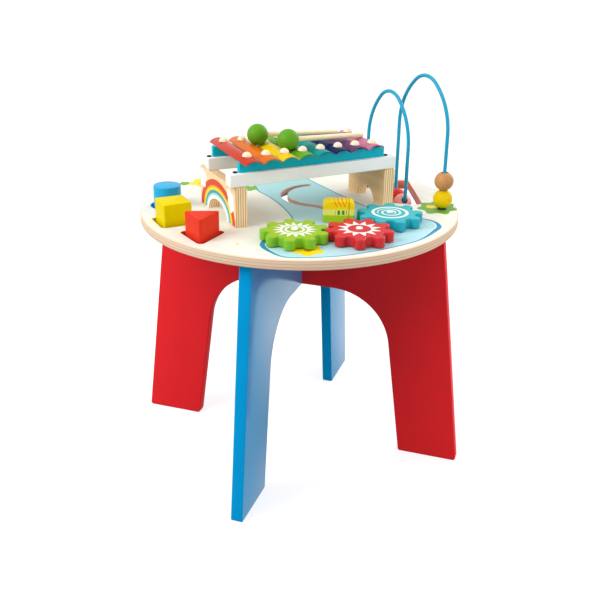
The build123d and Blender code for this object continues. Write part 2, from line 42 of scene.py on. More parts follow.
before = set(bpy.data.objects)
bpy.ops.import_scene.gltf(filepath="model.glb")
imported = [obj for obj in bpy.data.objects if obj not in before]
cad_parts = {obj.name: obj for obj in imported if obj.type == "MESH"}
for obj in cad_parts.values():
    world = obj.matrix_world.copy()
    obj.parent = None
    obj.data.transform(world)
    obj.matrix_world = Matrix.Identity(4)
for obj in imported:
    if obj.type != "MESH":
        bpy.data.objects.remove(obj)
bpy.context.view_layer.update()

MM = 0.001
UP = Vector((0, 0, 1))
FULL_TURN = 2 * math.pi
QUARTER_TURN = 1.57
UPRIGHT_GRAIN = (0, 90, 0)
BUMP_DEPTH = 0.0002
NOISE_SPAN = (0.3, 0.7)

# The board and the shape blocks in it, in millimetres and degrees
BOARD_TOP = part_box("tabletop")[1].z / MM
BOARD_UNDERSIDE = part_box("tabletop")[0].z / MM
BOARD_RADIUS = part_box("tabletop")[1].x / MM
POCKET_DEPTH = 10
POCKET_HALF, BLOCK_HALF = 26.0, 21.0
PRISM_CORNER = 52.0 / math.sqrt(3)
BLOCK_CIRCLE = 204.0
BLOCK_HEADINGS = (201, 224, 246.5)
CUBE_TURN, PRISM_TURN = 45, 51

# The xylophone, measured along and across the board's diagonal and up from the board
DIAGONAL = Vector((1, 1, 0)).normalized()
CROSSWAYS = Vector((-1, 1, 0)).normalized()
DIAGONAL_GRAIN = (0, 0, 45)
SUPPORT_FRONT, SUPPORT_HEIGHT, SUPPORT_THICK = -65.0, 60.0, 18.0
ARCH_HEIGHT = 22.0
RAIL_SIZE, RAIL_END, FRONT_RAIL = 19.0, 130.0, -56.0
REAR_RAIL_START, REAR_RAIL_LEFT, REAR_RAIL_RIGHT = -134.5, 45.1, 21.3
STRIP_START, STRIP_HEIGHT = -125.5, 16.0
FIRST_BAR, BAR_PITCH, BAR_RISE = -112.0, 29.15, 6.0
BAR_LEAN = math.radians(2.5)
BAR_WAY = CROSSWAYS * math.cos(BAR_LEAN) + DIAGONAL * math.sin(BAR_LEAN)
BAR_SPACING = BAR_PITCH * math.cos(BAR_LEAN)
BAR_HALF = BAR_SPACING / 2 - 1.0
BAR_BOW = (BAR_HALF**2 + BAR_RISE**2) / (2 * BAR_RISE)
BAR_BASE = SUPPORT_HEIGHT + RAIL_SIZE + STRIP_HEIGHT
BAR_CROWN = BAR_BASE + BAR_RISE
BAR_NAMES = ("red", "orange", "yellow", "green", "teal", "navy", "purple", "pink")

# Screws, and the bead wire: its ends, the ends and spring of its dip, spring and crown of its humps
SCREW_SHANK, SCREW_HEAD, SCREW_CROWN = 1.75, 3.5, 2.0
WIRE_RADIUS, DRAWN_WIRE_RADIUS = 2.8, 2.78
WIRE_ENDS = ((71.9, 136.9), (213.0, 55.6))
DIP_ENDS = ((151.1, 73.6), (124.3, 124.5))
DIP_SPRING = 421.0
FIRST_HUMP, SECOND_HUMP = (491.4, 569.7), (519.2, 599.4)


def linear(red, green, blue):
    """Linear colour of a 0 to 255 display colour."""
    share = [value / 255 for value in (red, green, blue)]
    return tuple(v / 12.92 if v <= 0.04045 else ((v + 0.055) / 1.055) ** 2.4 for v in share)


def length(label, text, value):
    """Property for a length in metres."""
    return bpy.props.FloatProperty(
        name=label, description=text, default=value, unit="LENGTH", precision=4, min=0.0
    )


def paint(label, text, *display):
    """Property for a colour, given as a display colour."""
    return bpy.props.FloatVectorProperty(
        name=label, description=text, default=linear(*display), subtype="COLOR", min=0.0, max=1.0
    )


def amount(label, text, value, top=1.0):
    """Property for a plain number."""
    return bpy.props.FloatProperty(name=label, description=text, default=value, min=0.0, max=top)


class BoardSettings(bpy.types.PropertyGroup):
    """Round board and the prints on it."""

    edge: length("Rim rounding", "Radius of the board's top and bottom edges", 0.002)
    cut_edge: length("Cut rounding", "Radius of the edges of pockets, slot and window", 0.0007)
    pale: paint("Pale wood", "Light part of the grain", 240, 241, 232)
    dark: paint("Dark wood", "Dark part of the grain", 230, 224, 206)
    rim_pale: paint("Pale ply", "Light plies of the rim", 241, 215, 187)
    rim_dark: paint("Dark ply", "Dark plies of the rim", 230, 200, 170)
    glue: paint("Glue lines", "Dark lines between the plies", 176, 126, 84)
    # The stream is printed darker than the pond: partly the print's own colour, partly painted
    # shade where it runs under the xylophone.
    stream: paint("Stream", "Printed stream, far part of the water", 137, 201, 203)
    pond: paint("Pond", "Printed pond, near part of the water", 171, 220, 230)
    shore: paint("Shore line", "Line round the printed water", 40, 142, 180)
    foam: paint("Foam", "Pale line along the shore", 236, 246, 248)
    leaf: paint("Leaves", "Printed leaves", 108, 168, 42)
    petal: paint("Petals", "Printed flowers", 244, 214, 32)
    heart: paint("Hearts", "Middles of the printed flowers", 226, 150, 30)
    # The window walls' coral is painted paler than the paint: painted light on walls that lie in
    # shade.
    window: paint("Window edge", "Painted walls of the board's window", 232, 136, 112)
    # The slot walls are scorched wood painted much paler than it is: painted light on walls that
    # lie in shade.
    slot: paint("Slot edge", "Scorched walls of the curved slot", 222, 186, 168)


class LegSettings(bpy.types.PropertyGroup):
    """Crossed leg panels and their brackets."""

    thickness: length("Thickness", "Plywood of the panels", 0.018)
    edge: length("Edge rounding", "Radius of the panels' long edges", 0.0014)
    red: paint("Red panel", "Paint of the panel along X", 240, 38, 44)
    blue: paint("Blue panel", "Paint of the panel along Y", 2, 157, 221)
    plating: paint("Plating", "Zinc of the brackets", 188, 190, 192)
    screw: paint("Screws", "Steel of the hidden screws", 150, 150, 152)


class XylophoneSettings(bpy.types.PropertyGroup):
    """Supports, rails, strips, bars and pins."""

    pale: paint("Pale plywood", "Light part of the supports' grain", 255, 230, 185)
    dark: paint("Dark plywood", "Dark part of the supports' grain", 243, 205, 153)
    # The faces' wood is darker and warmer than the plies: partly the veneer's own colour, partly
    # painted shade and warm bounce light under the bars.
    face_pale_and_bounce_light: paint("Pale face", "Light part of the grain on the supports' faces", 255, 219, 168)
    face_dark_and_bounce_light: paint("Dark face", "Dark part of the grain on the supports' faces", 242, 192, 138)
    rail: paint("Rails", "Paint of the rails", 247, 252, 250)
    rail_screw: paint("Rail screws", "Blackened steel of the rails' screws", 46, 46, 50)
    strip: paint("Strips", "Paint of the strips under the bars", 0, 185, 204)
    pin: paint("Pins", "Dome heads of the pins", 244, 226, 196)
    bar_sheet: length("Bar sheet", "Thickness of the bars", 0.0015)
    bar_red: paint("First bar", "Paint of the longest bar", 191, 54, 28)
    bar_orange: paint("Second bar", "Paint of the second bar", 208, 103, 4)
    bar_yellow: paint("Third bar", "Paint of the third bar", 223, 190, 4)
    bar_green: paint("Fourth bar", "Paint of the fourth bar", 93, 157, 37)
    bar_teal: paint("Fifth bar", "Paint of the fifth bar", 0, 140, 139)
    bar_navy: paint("Sixth bar", "Paint of the sixth bar", 11, 24, 78)
    bar_purple: paint("Seventh bar", "Paint of the seventh bar", 99, 57, 98)
    bar_pink: paint("Eighth bar", "Paint of the shortest bar", 191, 112, 141)
    rainbow_red: paint("Rainbow rim", "Outer band of the printed rainbow", 216, 76, 44)
    rainbow_orange: paint("Rainbow orange", "Second band of the rainbow", 238, 150, 40)
    rainbow_yellow: paint("Rainbow yellow", "Third band of the rainbow", 246, 214, 48)
    rainbow_teal: paint("Rainbow teal", "Fourth band of the rainbow", 66, 164, 160)
    rainbow_blue: paint("Rainbow blue", "Fifth band of the rainbow", 164, 214, 232)
    rainbow_white: paint("Rainbow white", "Band next to the arch", 244, 245, 243)
    cloud: paint("Clouds", "Clouds at the rainbow's ends", 246, 247, 246)


class ToySettings(bpy.types.PropertyGroup):
    """Mallets, blocks, gears, slider, wire and beads."""

    mallet: paint("Mallet heads", "Paint of the mallet heads", 97, 160, 30)
    stick: paint("Sticks", "Bare wood of the sticks", 255, 239, 197)
    blue: paint("Blue block", "Paint of the cylinder", 16, 166, 215)
    yellow: paint("Yellow block", "Paint of the cube", 230, 207, 0)
    red: paint("Red block", "Paint of the prism", 224, 56, 33)
    gear_red: paint("Red gear", "Paint of the red gear", 207, 46, 47)
    # The teeth's side colours are darker than the tops: partly two-tone paint, partly painted shade
    # on the upright walls.
    gear_red_side: paint("Red gear side", "Paint of the red teeth", 200, 38, 42)
    gear_green: paint("Green gear", "Paint of the green gear", 154, 188, 16)
    gear_green_side: paint("Green gear side", "Paint of the green teeth", 124, 184, 34)
    gear_turquoise: paint("Turquoise gear", "Paint of the turquoise gear", 43, 177, 185)
    gear_turquoise_side: paint("Turquoise gear side", "Paint of the turquoise teeth", 24, 164, 180)
    ornament: paint("Ornaments", "Print on the gears", 246, 247, 244)
    axle: paint("Axles", "Heads of the gears' axles", 244, 242, 234)
    washer: paint("Washers", "Washers under the gears", 232, 232, 228)
    slider_body: paint("Slider body", "Lower paint of the slider", 168, 204, 30)
    slider_wall: paint("Slider wall", "Band round the slider's windows", 238, 232, 110)
    slider_pane: paint("Slider windows", "Windows of the slider", 40, 150, 40)
    slider_roof: paint("Slider roof", "Upper paint of the slider", 248, 214, 20)
    slider_stripe: paint("Slider stripes", "Stripes on the slider's roof", 240, 140, 24)
    slider_line: paint("Slider line", "Upright line near the slider's end", 150, 150, 20)
    peg: paint("Slider peg", "Peg that keeps the slider in its slot", 226, 226, 220)
    wire: paint("Wire", "Coating of the bead wire", 22, 163, 201)
    bush: paint("Bushes", "Collars at the wire's ends", 34, 34, 38)
    bead_yellow: paint("Yellow bead", "Paint of the lowest bead", 233, 197, 0)
    bead_natural: paint("Natural bead", "Lacquered wood of the bead above it", 212, 152, 92)
    bead_pink: paint("Pink bead", "Paint of the front bead in the dip", 248, 184, 184)
    bead_red: paint("Red bead", "Paint of the rear bead in the dip", 222, 50, 44)


class StageSettings(bpy.types.PropertyGroup):
    """Floor, light and camera."""

    floor: paint("Floor", "Plain pale floor, as it lights the table", 136, 136, 136)
    shadow: amount("Shadow depth", "How much of the floor's white the shadow can take", 0.45)
    sky_light: amount("Sky light", "Light from all round, stronger from above", 1.0, 4.0)
    key_power: amount("Key light", "Power of the large lamp at the left, in watts", 56.0, 500.0)
    fill_power: amount("Fill light", "Power of the low lamp at the right, in watts", 16.0, 500.0)
    back_power: amount("Back light", "Power of the lamp behind the table, in watts", 18.5, 500.0)


# Outlines: closed loops of points in millimetres


def turned(loop, ccw=True):
    """The loop, run round anticlockwise or clockwise."""
    x, y = loop[:, 0], loop[:, 1]
    area = np.sum(x * np.roll(y, -1) - y * np.roll(x, -1))
    return loop if (area > 0) == ccw else loop[::-1]


def arc(centre, radius, start, end, step):
    """Points along an arc, angles in degrees."""
    count = max(3, int(abs(end - start) / step) + 2)
    angle = np.radians(np.linspace(start, end, count))
    return np.stack([centre[0] + radius * np.cos(angle), centre[1] + radius * np.sin(angle)], 1)


def circle(centre, radius, count):
    """A round loop."""
    return arc(centre, radius, 0, 360, 360 / (count - 1))[:-1]


def rounded(corners, radii, step=6.0):
    """A polygon with an arc of its own radius at each corner."""
    corners = np.array(corners, float)
    points = []
    for index, corner in enumerate(corners):
        before = corners[index - 1] - corner
        after = corners[(index + 1) % len(corners)] - corner
        before /= np.linalg.norm(before)
        after /= np.linalg.norm(after)
        radius = radii[index]
        half = math.acos(np.clip(np.dot(before, after), -1, 1)) / 2
        if radius <= 0 or half > math.pi / 2 - 1e-3:
            points.append(corner[None])
            continue
        bisector = (before + after) / np.linalg.norm(before + after)
        middle = corner + bisector * radius / math.sin(half)
        start = corner + before * radius / math.tan(half) - middle
        end = corner + after * radius / math.tan(half) - middle
        first = math.degrees(math.atan2(start[1], start[0]))
        sweep = math.degrees(math.atan2(end[1], end[0])) - first
        sweep = (sweep + 180) % 360 - 180
        points.append(arc(middle, radius, first, first + sweep, step))
    return np.concatenate(points)


def oblong(half, low, high, radii, step):
    """A rectangle astride the Y axis, with an arc of its own radius at each corner."""
    return rounded([(-half, low), (half, low), (half, high), (-half, high)], radii, step)


def ribbon(path, width):
    """Outline of a band of even width, with round ends, along an open path."""
    along = np.gradient(path, axis=0)
    along /= np.linalg.norm(along, axis=1)[:, None]
    side = np.stack([-along[:, 1], along[:, 0]], 1) * width / 2

    def end(point, way):
        heading = math.degrees(math.atan2(way[1], way[0]))
        return arc(point, width / 2, heading - 90, heading + 90, 12.0)[1:-1]

    return np.concatenate(
        [path - side, end(path[-1], along[-1]), (path + side)[::-1], end(path[0], -along[0])]
    )


def spun(loop, centre, degrees):
    """The loop turned about the origin and then moved to its centre."""
    angle = math.radians(degrees)
    turn = np.array([[math.cos(angle), math.sin(angle)], [-math.sin(angle), math.cos(angle)]])
    return loop @ turn + np.array(centre)


def smooth_loop(points, count=12):
    """A smooth closed curve through a few points."""
    p0, p1, p2, p3 = (np.roll(np.array(points, float), shift, 0) for shift in (1, 0, -1, -2))
    square, cube = 2 * p0 - 5 * p1 + 4 * p2 - p3, 3 * p1 - p0 - 3 * p2 + p3
    out = []
    for t in np.linspace(0, 1, count, endpoint=False):
        out.append(0.5 * (2 * p1 + (p2 - p0) * t + square * t**2 + cube * t**3))
    return np.stack(out, 1).reshape(-1, 2)


def star(points, outer, inner):
    """A star with straight rays."""
    angle = np.arange(2 * points) * math.pi / points
    radius = np.where(np.arange(2 * points) % 2 == 0, outer, inner)
    return np.stack([radius * np.cos(angle), radius * np.sin(angle)], 1)


def inset(loop, distance):
    """The loop moved into the material, which is on its left."""
    before = loop - np.roll(loop, 1, 0)
    after = np.roll(loop, -1, 0) - loop
    before /= np.linalg.norm(before, axis=1)[:, None]
    after /= np.linalg.norm(after, axis=1)[:, None]
    first = np.stack([-before[:, 1], before[:, 0]], 1)
    second = np.stack([-after[:, 1], after[:, 0]], 1)
    spread = 1 + np.sum(first * second, 1)[:, None]
    return loop + distance * (first + second) / np.maximum(spread, 0.35)


def crossings(points, loop):
    """How many edges of the loop a level ray from each point meets."""
    a, b = loop, np.roll(loop, -1, 0)
    px, py = points[:, :1], points[:, 1:2]
    upright = (a[:, 1] > py) != (b[:, 1] > py)
    rise = np.where(b[:, 1] == a[:, 1], 1e-12, b[:, 1] - a[:, 1])
    return np.sum(upright & (px < (b[:, 0] - a[:, 0]) * (py - a[:, 1]) / rise + a[:, 0]), 1)


def signed_distance(points, loop):
    """Distance of each point from the loop, below zero inside it."""
    best = np.full(len(points), 1e9)
    for start, way in zip(loop, np.roll(loop, -1, 0) - loop):
        offset = points - start
        share = np.clip(offset @ way / max(way @ way, 1e-12), 0, 1)
        best = np.minimum(best, np.sum((offset - share[:, None] * way) ** 2, 1))
    return np.sqrt(best) * np.where(crossings(points, loop) % 2 == 1, -1, 1)


def block_outlines(half, corner, sides, soft, step):
    """Outlines of cylinder, cube and prism; soft and step are pairs for the two with corners."""
    square = [(half, -half), (half, half), (-half, half), (-half, -half)]
    square = rounded(square, [soft[0]] * 4, step[0])
    triangle = rounded(star(3, corner, corner)[::2], [soft[1]] * 3, step[1])
    places = []
    for heading in BLOCK_HEADINGS:
        angle = math.radians(heading)
        places.append((BLOCK_CIRCLE * math.cos(angle), BLOCK_CIRCLE * math.sin(angle)))
    return [
        circle(places[0], half, sides),
        spun(square, places[1], CUBE_TURN),
        spun(triangle, places[2], PRISM_TURN),
    ]


# Meshes


class Shell:
    """Collects the walls and caps of a piece in millimetres and makes one closed mesh of them."""

    def __init__(self):
        self.points = []
        self.faces = []
        self.slots = []

    def ring(self, points):
        """Adds a ring of points and gives back their numbers."""
        first = len(self.points)
        self.points.extend(tuple(point) for point in points)
        return list(range(first, len(self.points)))

    def skin(self, rings, slot=0):
        """Joins rings of equal length, each to the next, with four-sided faces."""
        for low, high in zip(rings, rings[1:]):
            for index in range(len(low)):
                after = (index + 1) % len(low)
                self.faces.append((low[index], low[after], high[after], high[index]))
                self.slots.append(slot)

    def wall(self, loop, profile, slot=0):
        """Walls that follow a loop; the profile is a list of (inset, height)."""
        rings = []
        for depth, height in profile:
            shape = inset(loop, depth) if depth else loop
            rings.append(self.ring([(x, y, height) for x, y in shape]))
        self.skin(rings, slot)

    def cap(self, loops, height, slot=0, spacing=0.0):
        """A flat face inside the first loop and outside the others, with inner points if wanted."""
        points = np.concatenate(loops)
        edges = []
        first = 0
        for loop in loops:
            count = len(loop)
            edges.extend((first + i, first + (i + 1) % count) for i in range(count))
            first += count
        if spacing:
            low, high = points.min(0), points.max(0)
            steps = [np.arange(a + spacing / 2, b, spacing) for a, b in zip(low, high)]
            grid = np.stack(np.meshgrid(*steps), -1).reshape(-1, 2)
            clear, room = np.full(len(grid), True), 0.55 * spacing
            for point in points:
                clear &= np.sum((grid - point) ** 2, 1) > room**2
            points = np.concatenate([points, grid[clear]])
        found = delaunay_2d_cdt([Vector(p) for p in points], edges, [], 0, 1e-6)
        flat = np.array([(v.x, v.y) for v in found[0]])
        triangles = np.array([tuple(face) for face in found[2] if len(face) == 3])
        middle = flat[triangles].mean(1)
        inside = np.zeros(len(triangles), int)
        for loop in loops:
            inside += crossings(middle, loop)
        numbers = self.ring([(x, y, height) for x, y in flat])
        for triangle in triangles[inside % 2 == 1]:
            self.faces.append(tuple(numbers[i] for i in triangle))
            self.slots.append(slot)

    def mesh(self, name, place=None):
        """The mesh in metres, welded, with its faces outward."""
        form = bmesh.new()
        made = [form.verts.new(Vector(point) * MM) for point in self.points]
        for face, slot in zip(self.faces, self.slots):
            corners = list(dict.fromkeys(made[i] for i in face))
            if len(corners) > 2 and not form.faces.get(corners):
                form.faces.new(corners).material_index = slot
        bmesh.ops.remove_doubles(form, verts=form.verts, dist=2e-6)
        bmesh.ops.dissolve_degenerate(form, edges=form.edges, dist=1e-7)
        bmesh.ops.recalc_face_normals(form, faces=form.faces)
        if place is not None:
            form.transform(place)
        mesh = bpy.data.meshes.new(name)
        form.to_mesh(mesh)
        form.free()
        return mesh


def placed(origin, x_way, y_way):
    """Matrix that puts local X and Y along two directions at a point in millimetres."""
    x_way, y_way = Vector(x_way).normalized(), Vector(y_way).normalized()
    z_way = x_way.cross(y_way)
    turn = Matrix((x_way, y_way, z_way)).transposed().to_4x4()
    return Matrix.Translation(Vector(origin) * MM) @ turn


def standing(origin, axis):
    """Matrix that puts local Z along an axis at a point in millimetres."""
    axis = Vector(axis).normalized()
    side = axis.cross(UP) if abs(axis.z) < 0.99 else Vector((0, 1, 0))
    return placed(origin, side, axis.cross(side))


def rounded_edge(low, high, radius, steps=3, foot=None):
    """Profile of a wall with rounded edges, from the top down."""
    foot = radius if foot is None else foot
    angle = np.linspace(0, math.pi / 2, steps + 1)
    top = [(radius * (1 - math.sin(a)), high - radius * (1 - math.cos(a))) for a in angle]
    base = [(foot * (1 - math.sin(a)), low + foot * (1 - math.cos(a))) for a in angle[::-1]]
    return top + base


def plate(name, place, outer, holes, low, high, edge, wall_slot=0, spacing=0.0, foot=None):
    """Mesh of a board of even thickness with rounded edges and through holes."""
    shell = Shell()
    foot = edge if foot is None else foot
    loops = [turned(outer, True)] + [turned(hole, False) for hole in holes]
    shell.cap([inset(loop, edge) for loop in loops], high, 0, spacing)
    shell.cap([inset(loop, foot) for loop in loops], low)
    for loop in loops:
        shell.wall(loop, rounded_edge(low, high, edge, foot=foot), wall_slot)
    return shell.mesh(name, place)


def lathed(name, profile, count, place=None):
    """Mesh of a turned form; the profile is a list of (radius, height), a zero radius is a pole."""
    shell = Shell()
    angle = np.arange(count) * FULL_TURN / count
    rings = []
    for radius, height in profile:
        if radius < 1e-6:
            rings.append(shell.ring([(0, 0, height)]) * count)
        else:
            ring = [(radius * math.cos(a), radius * math.sin(a), height) for a in angle]
            rings.append(shell.ring(ring))
    shell.skin(rings)
    return shell.mesh(name, place)


def linked(name, data):
    """A new object in the scene."""
    made = bpy.data.objects.new(name, data)
    bpy.context.scene.collection.objects.link(made)
    return made


def piece(name, mesh, materials, body, nodes, crease=32.0):
    """Makes the object, gives it its materials and sets it on its body in place of its nodes."""
    made = linked(name, mesh)
    for material in materials:
        mesh.materials.append(material)
    mesh.polygons.foreach_set("use_smooth", [True] * len(mesh.polygons))
    mesh.set_sharp_from_angle(angle=math.radians(crease))
    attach(made, body)
    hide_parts(*nodes)


def redress(node, material):
    """Gives a CAD node that stays as it is a better material."""
    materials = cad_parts[node].data.materials
    materials.clear()
    materials.append(material)


def field(mesh, name, rule):
    """Stores a number for each point of the mesh, worked out from its place in millimetres."""
    places = np.empty(len(mesh.vertices) * 3, np.float32)
    mesh.vertices.foreach_get("co", places)
    values = rule(places.reshape(-1, 3).astype(float) / MM)
    store = mesh.attributes.new(name, "FLOAT", "POINT")
    store.data.foreach_set("value", np.asarray(values, np.float32))


# Shader nodes


def feed(tree, target, value):
    """Links a socket to an input, or sets the input to a plain value."""
    if isinstance(value, bpy.types.NodeSocket):
        tree.links.new(value, target)
    elif target.type == "RGBA" and len(value) == 3:
        target.default_value = (*value, 1.0)
    else:
        target.default_value = value


def put(tree, kind, sockets=None, **settings):
    """Adds a node, sets it, and links or fills its sockets."""
    node = tree.nodes.new(kind)
    for key, value in settings.items():
        setattr(node, key, value)
    for key, value in (sockets or {}).items():
        feed(tree, node.inputs[key], value)
    return node


def calc(tree, operation, *values):
    """Output of a math node."""
    return put(tree, "ShaderNodeMath", dict(enumerate(values)), operation=operation).outputs[0]


def blend_colour(tree, share, first, second, mode="MIX"):
    """Output of a colour mix node."""
    sockets = {0: share, 6: first, 7: second}
    return put(tree, "ShaderNodeMix", sockets, data_type="RGBA", blend_type=mode).outputs[2]


def shaded(tree, colour, shade):
    """The colour made lighter or darker by a factor."""
    grey = put(tree, "ShaderNodeCombineColor", {0: shade, 1: shade, 2: shade}).outputs[0]
    return blend_colour(tree, 1.0, colour, grey, "MULTIPLY")


def noise(tree, vector, stretch, detail=2.0, rough=0.5):
    """Noise over a vector that is stretched by three factors."""
    sized = put(tree, "ShaderNodeVectorMath", {0: vector, 1: stretch}, operation="MULTIPLY")
    sockets = {"Vector": sized.outputs[0], "Scale": 1.0, "Detail": detail, "Roughness": rough}
    return put(tree, "ShaderNodeTexNoise", sockets).outputs["Fac"]


def remap(tree, value, low, high, to_low, to_high):
    """Output of a clamped map range node."""
    sockets = {"Value": value, 1: low, 2: high, 3: to_low, 4: to_high}
    return put(tree, "ShaderNodeMapRange", sockets, clamp=True).outputs[0]


def node_group(name, inputs, outputs, kind="ShaderNodeTree"):
    """An empty group with its sockets; gives back the tree, its inputs and its output node."""
    tree = bpy.data.node_groups.new(name, kind)
    for label, kind, default in inputs:
        socket = tree.interface.new_socket(label, in_out="INPUT", socket_type="NodeSocket" + kind)
        if default is not None:
            socket.default_value = default
    for label, kind in outputs:
        tree.interface.new_socket(label, in_out="OUTPUT", socket_type="NodeSocket" + kind)
    return tree, put(tree, "NodeGroupInput").outputs, put(tree, "NodeGroupOutput")


def give(tree, out, **values):
    """Links a group's results to its outputs and gives back the group."""
    for name, value in values.items():
        tree.links.new(value, out.inputs[name])
    return tree


def make_grain_group():
    """Wood grain along the vector's X: a colour and a height."""
    tree, given, out = node_group(
        "Wood grain",
        (
            ("Vector", "Vector", None),
            ("Pale", "Color", (0.8, 0.7, 0.5, 1)),
            ("Dark", "Color", (0.6, 0.45, 0.3, 1)),
            ("Contrast", "Float", 1.0),
        ),
        (("Color", "Color"), ("Height", "Float")),
    )
    broad = noise(tree, given["Vector"], (5.0, 62.0, 62.0), 3.0, 0.55)
    fibre = noise(tree, given["Vector"], (28.0, 900.0, 900.0), 2.0)
    pores = noise(tree, given["Vector"], (90.0, 1700.0, 1700.0), 1.0)
    figure = remap(tree, broad, 0.36, 0.66, 0.0, 1.0)
    flecks = remap(tree, pores, 0.60, 0.74, 0.0, 0.5)
    tone = calc(tree, "MULTIPLY_ADD", figure, 0.55, calc(tree, "MULTIPLY", fibre, 0.42))
    tone = calc(tree, "MULTIPLY", calc(tree, "ADD", tone, flecks), given["Contrast"])
    tone = calc(tree, "MINIMUM", tone, 1.0)
    colour = blend_colour(tree, tone, given["Pale"], given["Dark"])
    return give(tree, out, Color=colour, Height=calc(tree, "SUBTRACT", fibre, flecks))


def make_paint_group():
    """Sprayed paint: slight unevenness of tone and gloss, fine peel, and grain under it."""
    tree, given, out = node_group(
        "Paint film",
        (
            ("Vector", "Vector", None),
            ("Color", "Color", (0.5, 0.5, 0.5, 1)),
            ("Gloss", "Float", 0.3),
            ("Grain", "Float", 0.3),
        ),
        (("Color", "Color"), ("Roughness", "Float"), ("Height", "Float")),
    )
    cloud = noise(tree, given["Vector"], (16.0, 16.0, 16.0), 3.0)
    peel = noise(tree, given["Vector"], (620.0, 620.0, 620.0), 2.0)
    fibre = noise(tree, given["Vector"], (14.0, 430.0, 430.0), 2.0)
    level = remap(tree, cloud, *NOISE_SPAN, 0.97, 1.03)
    streak = remap(tree, fibre, 0.3, 0.75, 1.0, 0.94)
    streak = calc(tree, "POWER", streak, given["Grain"])
    tone = shaded(tree, given["Color"], calc(tree, "MULTIPLY", level, streak))
    uneven = remap(tree, cloud, *NOISE_SPAN, -0.05, 0.06)
    rough = calc(tree, "ADD", given["Gloss"], uneven)
    lift = calc(tree, "MULTIPLY", fibre, given["Grain"])
    height = calc(tree, "MULTIPLY_ADD", peel, 0.35, lift)
    return give(tree, out, Color=tone, Roughness=rough, Height=height)


def make_ply_group():
    """Edge of plywood: alternate plies and the glue lines between them."""
    tree, given, out = node_group(
        "Plywood edge",
        (
            ("Vector", "Vector", None),
            ("Across", "Float", 0.0),
            ("Ply", "Float", 0.0026),
            ("Line", "Float", 0.5),
            ("Pale", "Color", (0.8, 0.7, 0.5, 1)),
            ("Dark", "Color", (0.6, 0.45, 0.3, 1)),
            ("Glue", "Color", (0.3, 0.2, 0.1, 1)),
        ),
        (("Color", "Color"), ("Height", "Float")),
    )
    waver = noise(tree, given["Vector"], (40.0, 40.0, 40.0), 1.0)
    across = calc(tree, "MULTIPLY_ADD", waver, 0.0004, given["Across"])
    layer = calc(tree, "DIVIDE", across, given["Ply"])
    part = calc(tree, "FRACT", layer)
    odd = calc(tree, "FRACT", calc(tree, "MULTIPLY", calc(tree, "FLOOR", layer), 0.5))
    near = calc(tree, "MINIMUM", part, calc(tree, "SUBTRACT", 1.0, part))
    glue = calc(tree, "MULTIPLY", remap(tree, near, 0.08, 0.2, 1.0, 0.0), given["Line"])
    speck = noise(tree, given["Vector"], (420.0, 420.0, 420.0), 2.0)
    tone = calc(tree, "MULTIPLY_ADD", odd, 0.5, calc(tree, "MULTIPLY", speck, 0.45))
    wood = blend_colour(tree, calc(tree, "MINIMUM", tone, 1.0), given["Pale"], given["Dark"])
    colour = blend_colour(tree, glue, wood, given["Glue"])
    return give(tree, out, Color=colour, Height=calc(tree, "SUBTRACT", speck, glue))


def make_ink_group():
    """Printed area: a distance in millimetres becomes a mask with a crisp, slightly ragged edge."""
    tree, given, out = node_group(
        "Ink",
        (("Vector", "Vector", None), ("Distance", "Float", 0.0)),
        (("Mask", "Float"),),
    )
    ragged = noise(tree, given["Vector"], (900.0, 900.0, 900.0), 1.0)
    inward = calc(tree, "SUBTRACT", given["Distance"], 0.11)
    edge = calc(tree, "MULTIPLY_ADD", ragged, 0.22, inward)
    return give(tree, out, Mask=remap(tree, edge, -0.16, 0.16, 1.0, 0.0))


class Finish:
    """A material under construction: its node tree, its shader and its coordinates."""

    makers = {
        "Wood grain": make_grain_group,
        "Paint film": make_paint_group,
        "Plywood edge": make_ply_group,
        "Ink": make_ink_group,
    }

    def __init__(self, name, turn=(0.0, 0.0, 0.0)):
        self.material = bpy.data.materials.new(name)
        self.material.use_nodes = True
        self.tree = self.material.node_tree
        self.tree.nodes.clear()
        self.shader = put(self.tree, "ShaderNodeBsdfPrincipled")
        surface = {"Surface": self.shader.outputs[0]}
        self.out = put(self.tree, "ShaderNodeOutputMaterial", surface)
        raw = put(self.tree, "ShaderNodeTexCoord").outputs["Object"]
        turned_by = {"Vector": raw, "Rotation": [math.radians(a) for a in turn]}
        self.vector = put(self.tree, "ShaderNodeMapping", turned_by).outputs[0]

    def group(self, name, **sockets):
        """Places a shared group and gives back its outputs."""
        tree = bpy.data.node_groups.get(name) or Finish.makers[name]()
        sockets["Vector"] = self.vector
        return put(self.tree, "ShaderNodeGroup", sockets, node_tree=tree).outputs

    def stored(self, name):
        """A number stored on the points of the mesh."""
        return put(self.tree, "ShaderNodeAttribute", attribute_name=name).outputs["Fac"]

    def overprint(self, colour, *prints):
        """The colour with printed areas over it, each given as a distance and an ink."""
        for distance, ink in prints:
            colour = blend_colour(self.tree, self.ink(distance), colour, ink)
        return colour

    def ink(self, distance):
        """Mask of a printed area."""
        return self.group("Ink", Distance=distance)["Mask"]

    def done(self, colour, roughness, height, bump, shine=0.5, metallic=0.0):
        """Links the surface to the shader and gives back the material."""
        relief = {"Height": height, "Strength": bump, "Distance": BUMP_DEPTH}
        for name, value in (
            ("Base Color", colour),
            ("Roughness", roughness),
            ("Normal", put(self.tree, "ShaderNodeBump", relief).outputs[0]),
            ("Specular IOR Level", shine),
            ("Metallic", metallic),
        ):
            feed(self.tree, self.shader.inputs[name], value)
        return self.material


def painted(name, colour, gloss=0.34, grain=0.5, turn=(0.0, 0.0, 0.0), shine=0.15, bump=0.18):
    """Satin paint on wood."""
    look = Finish(name, turn)
    film = look.group("Paint film", Color=colour, Gloss=gloss, Grain=grain)
    return look.done(film["Color"], film["Roughness"], film["Height"], bump, shine)


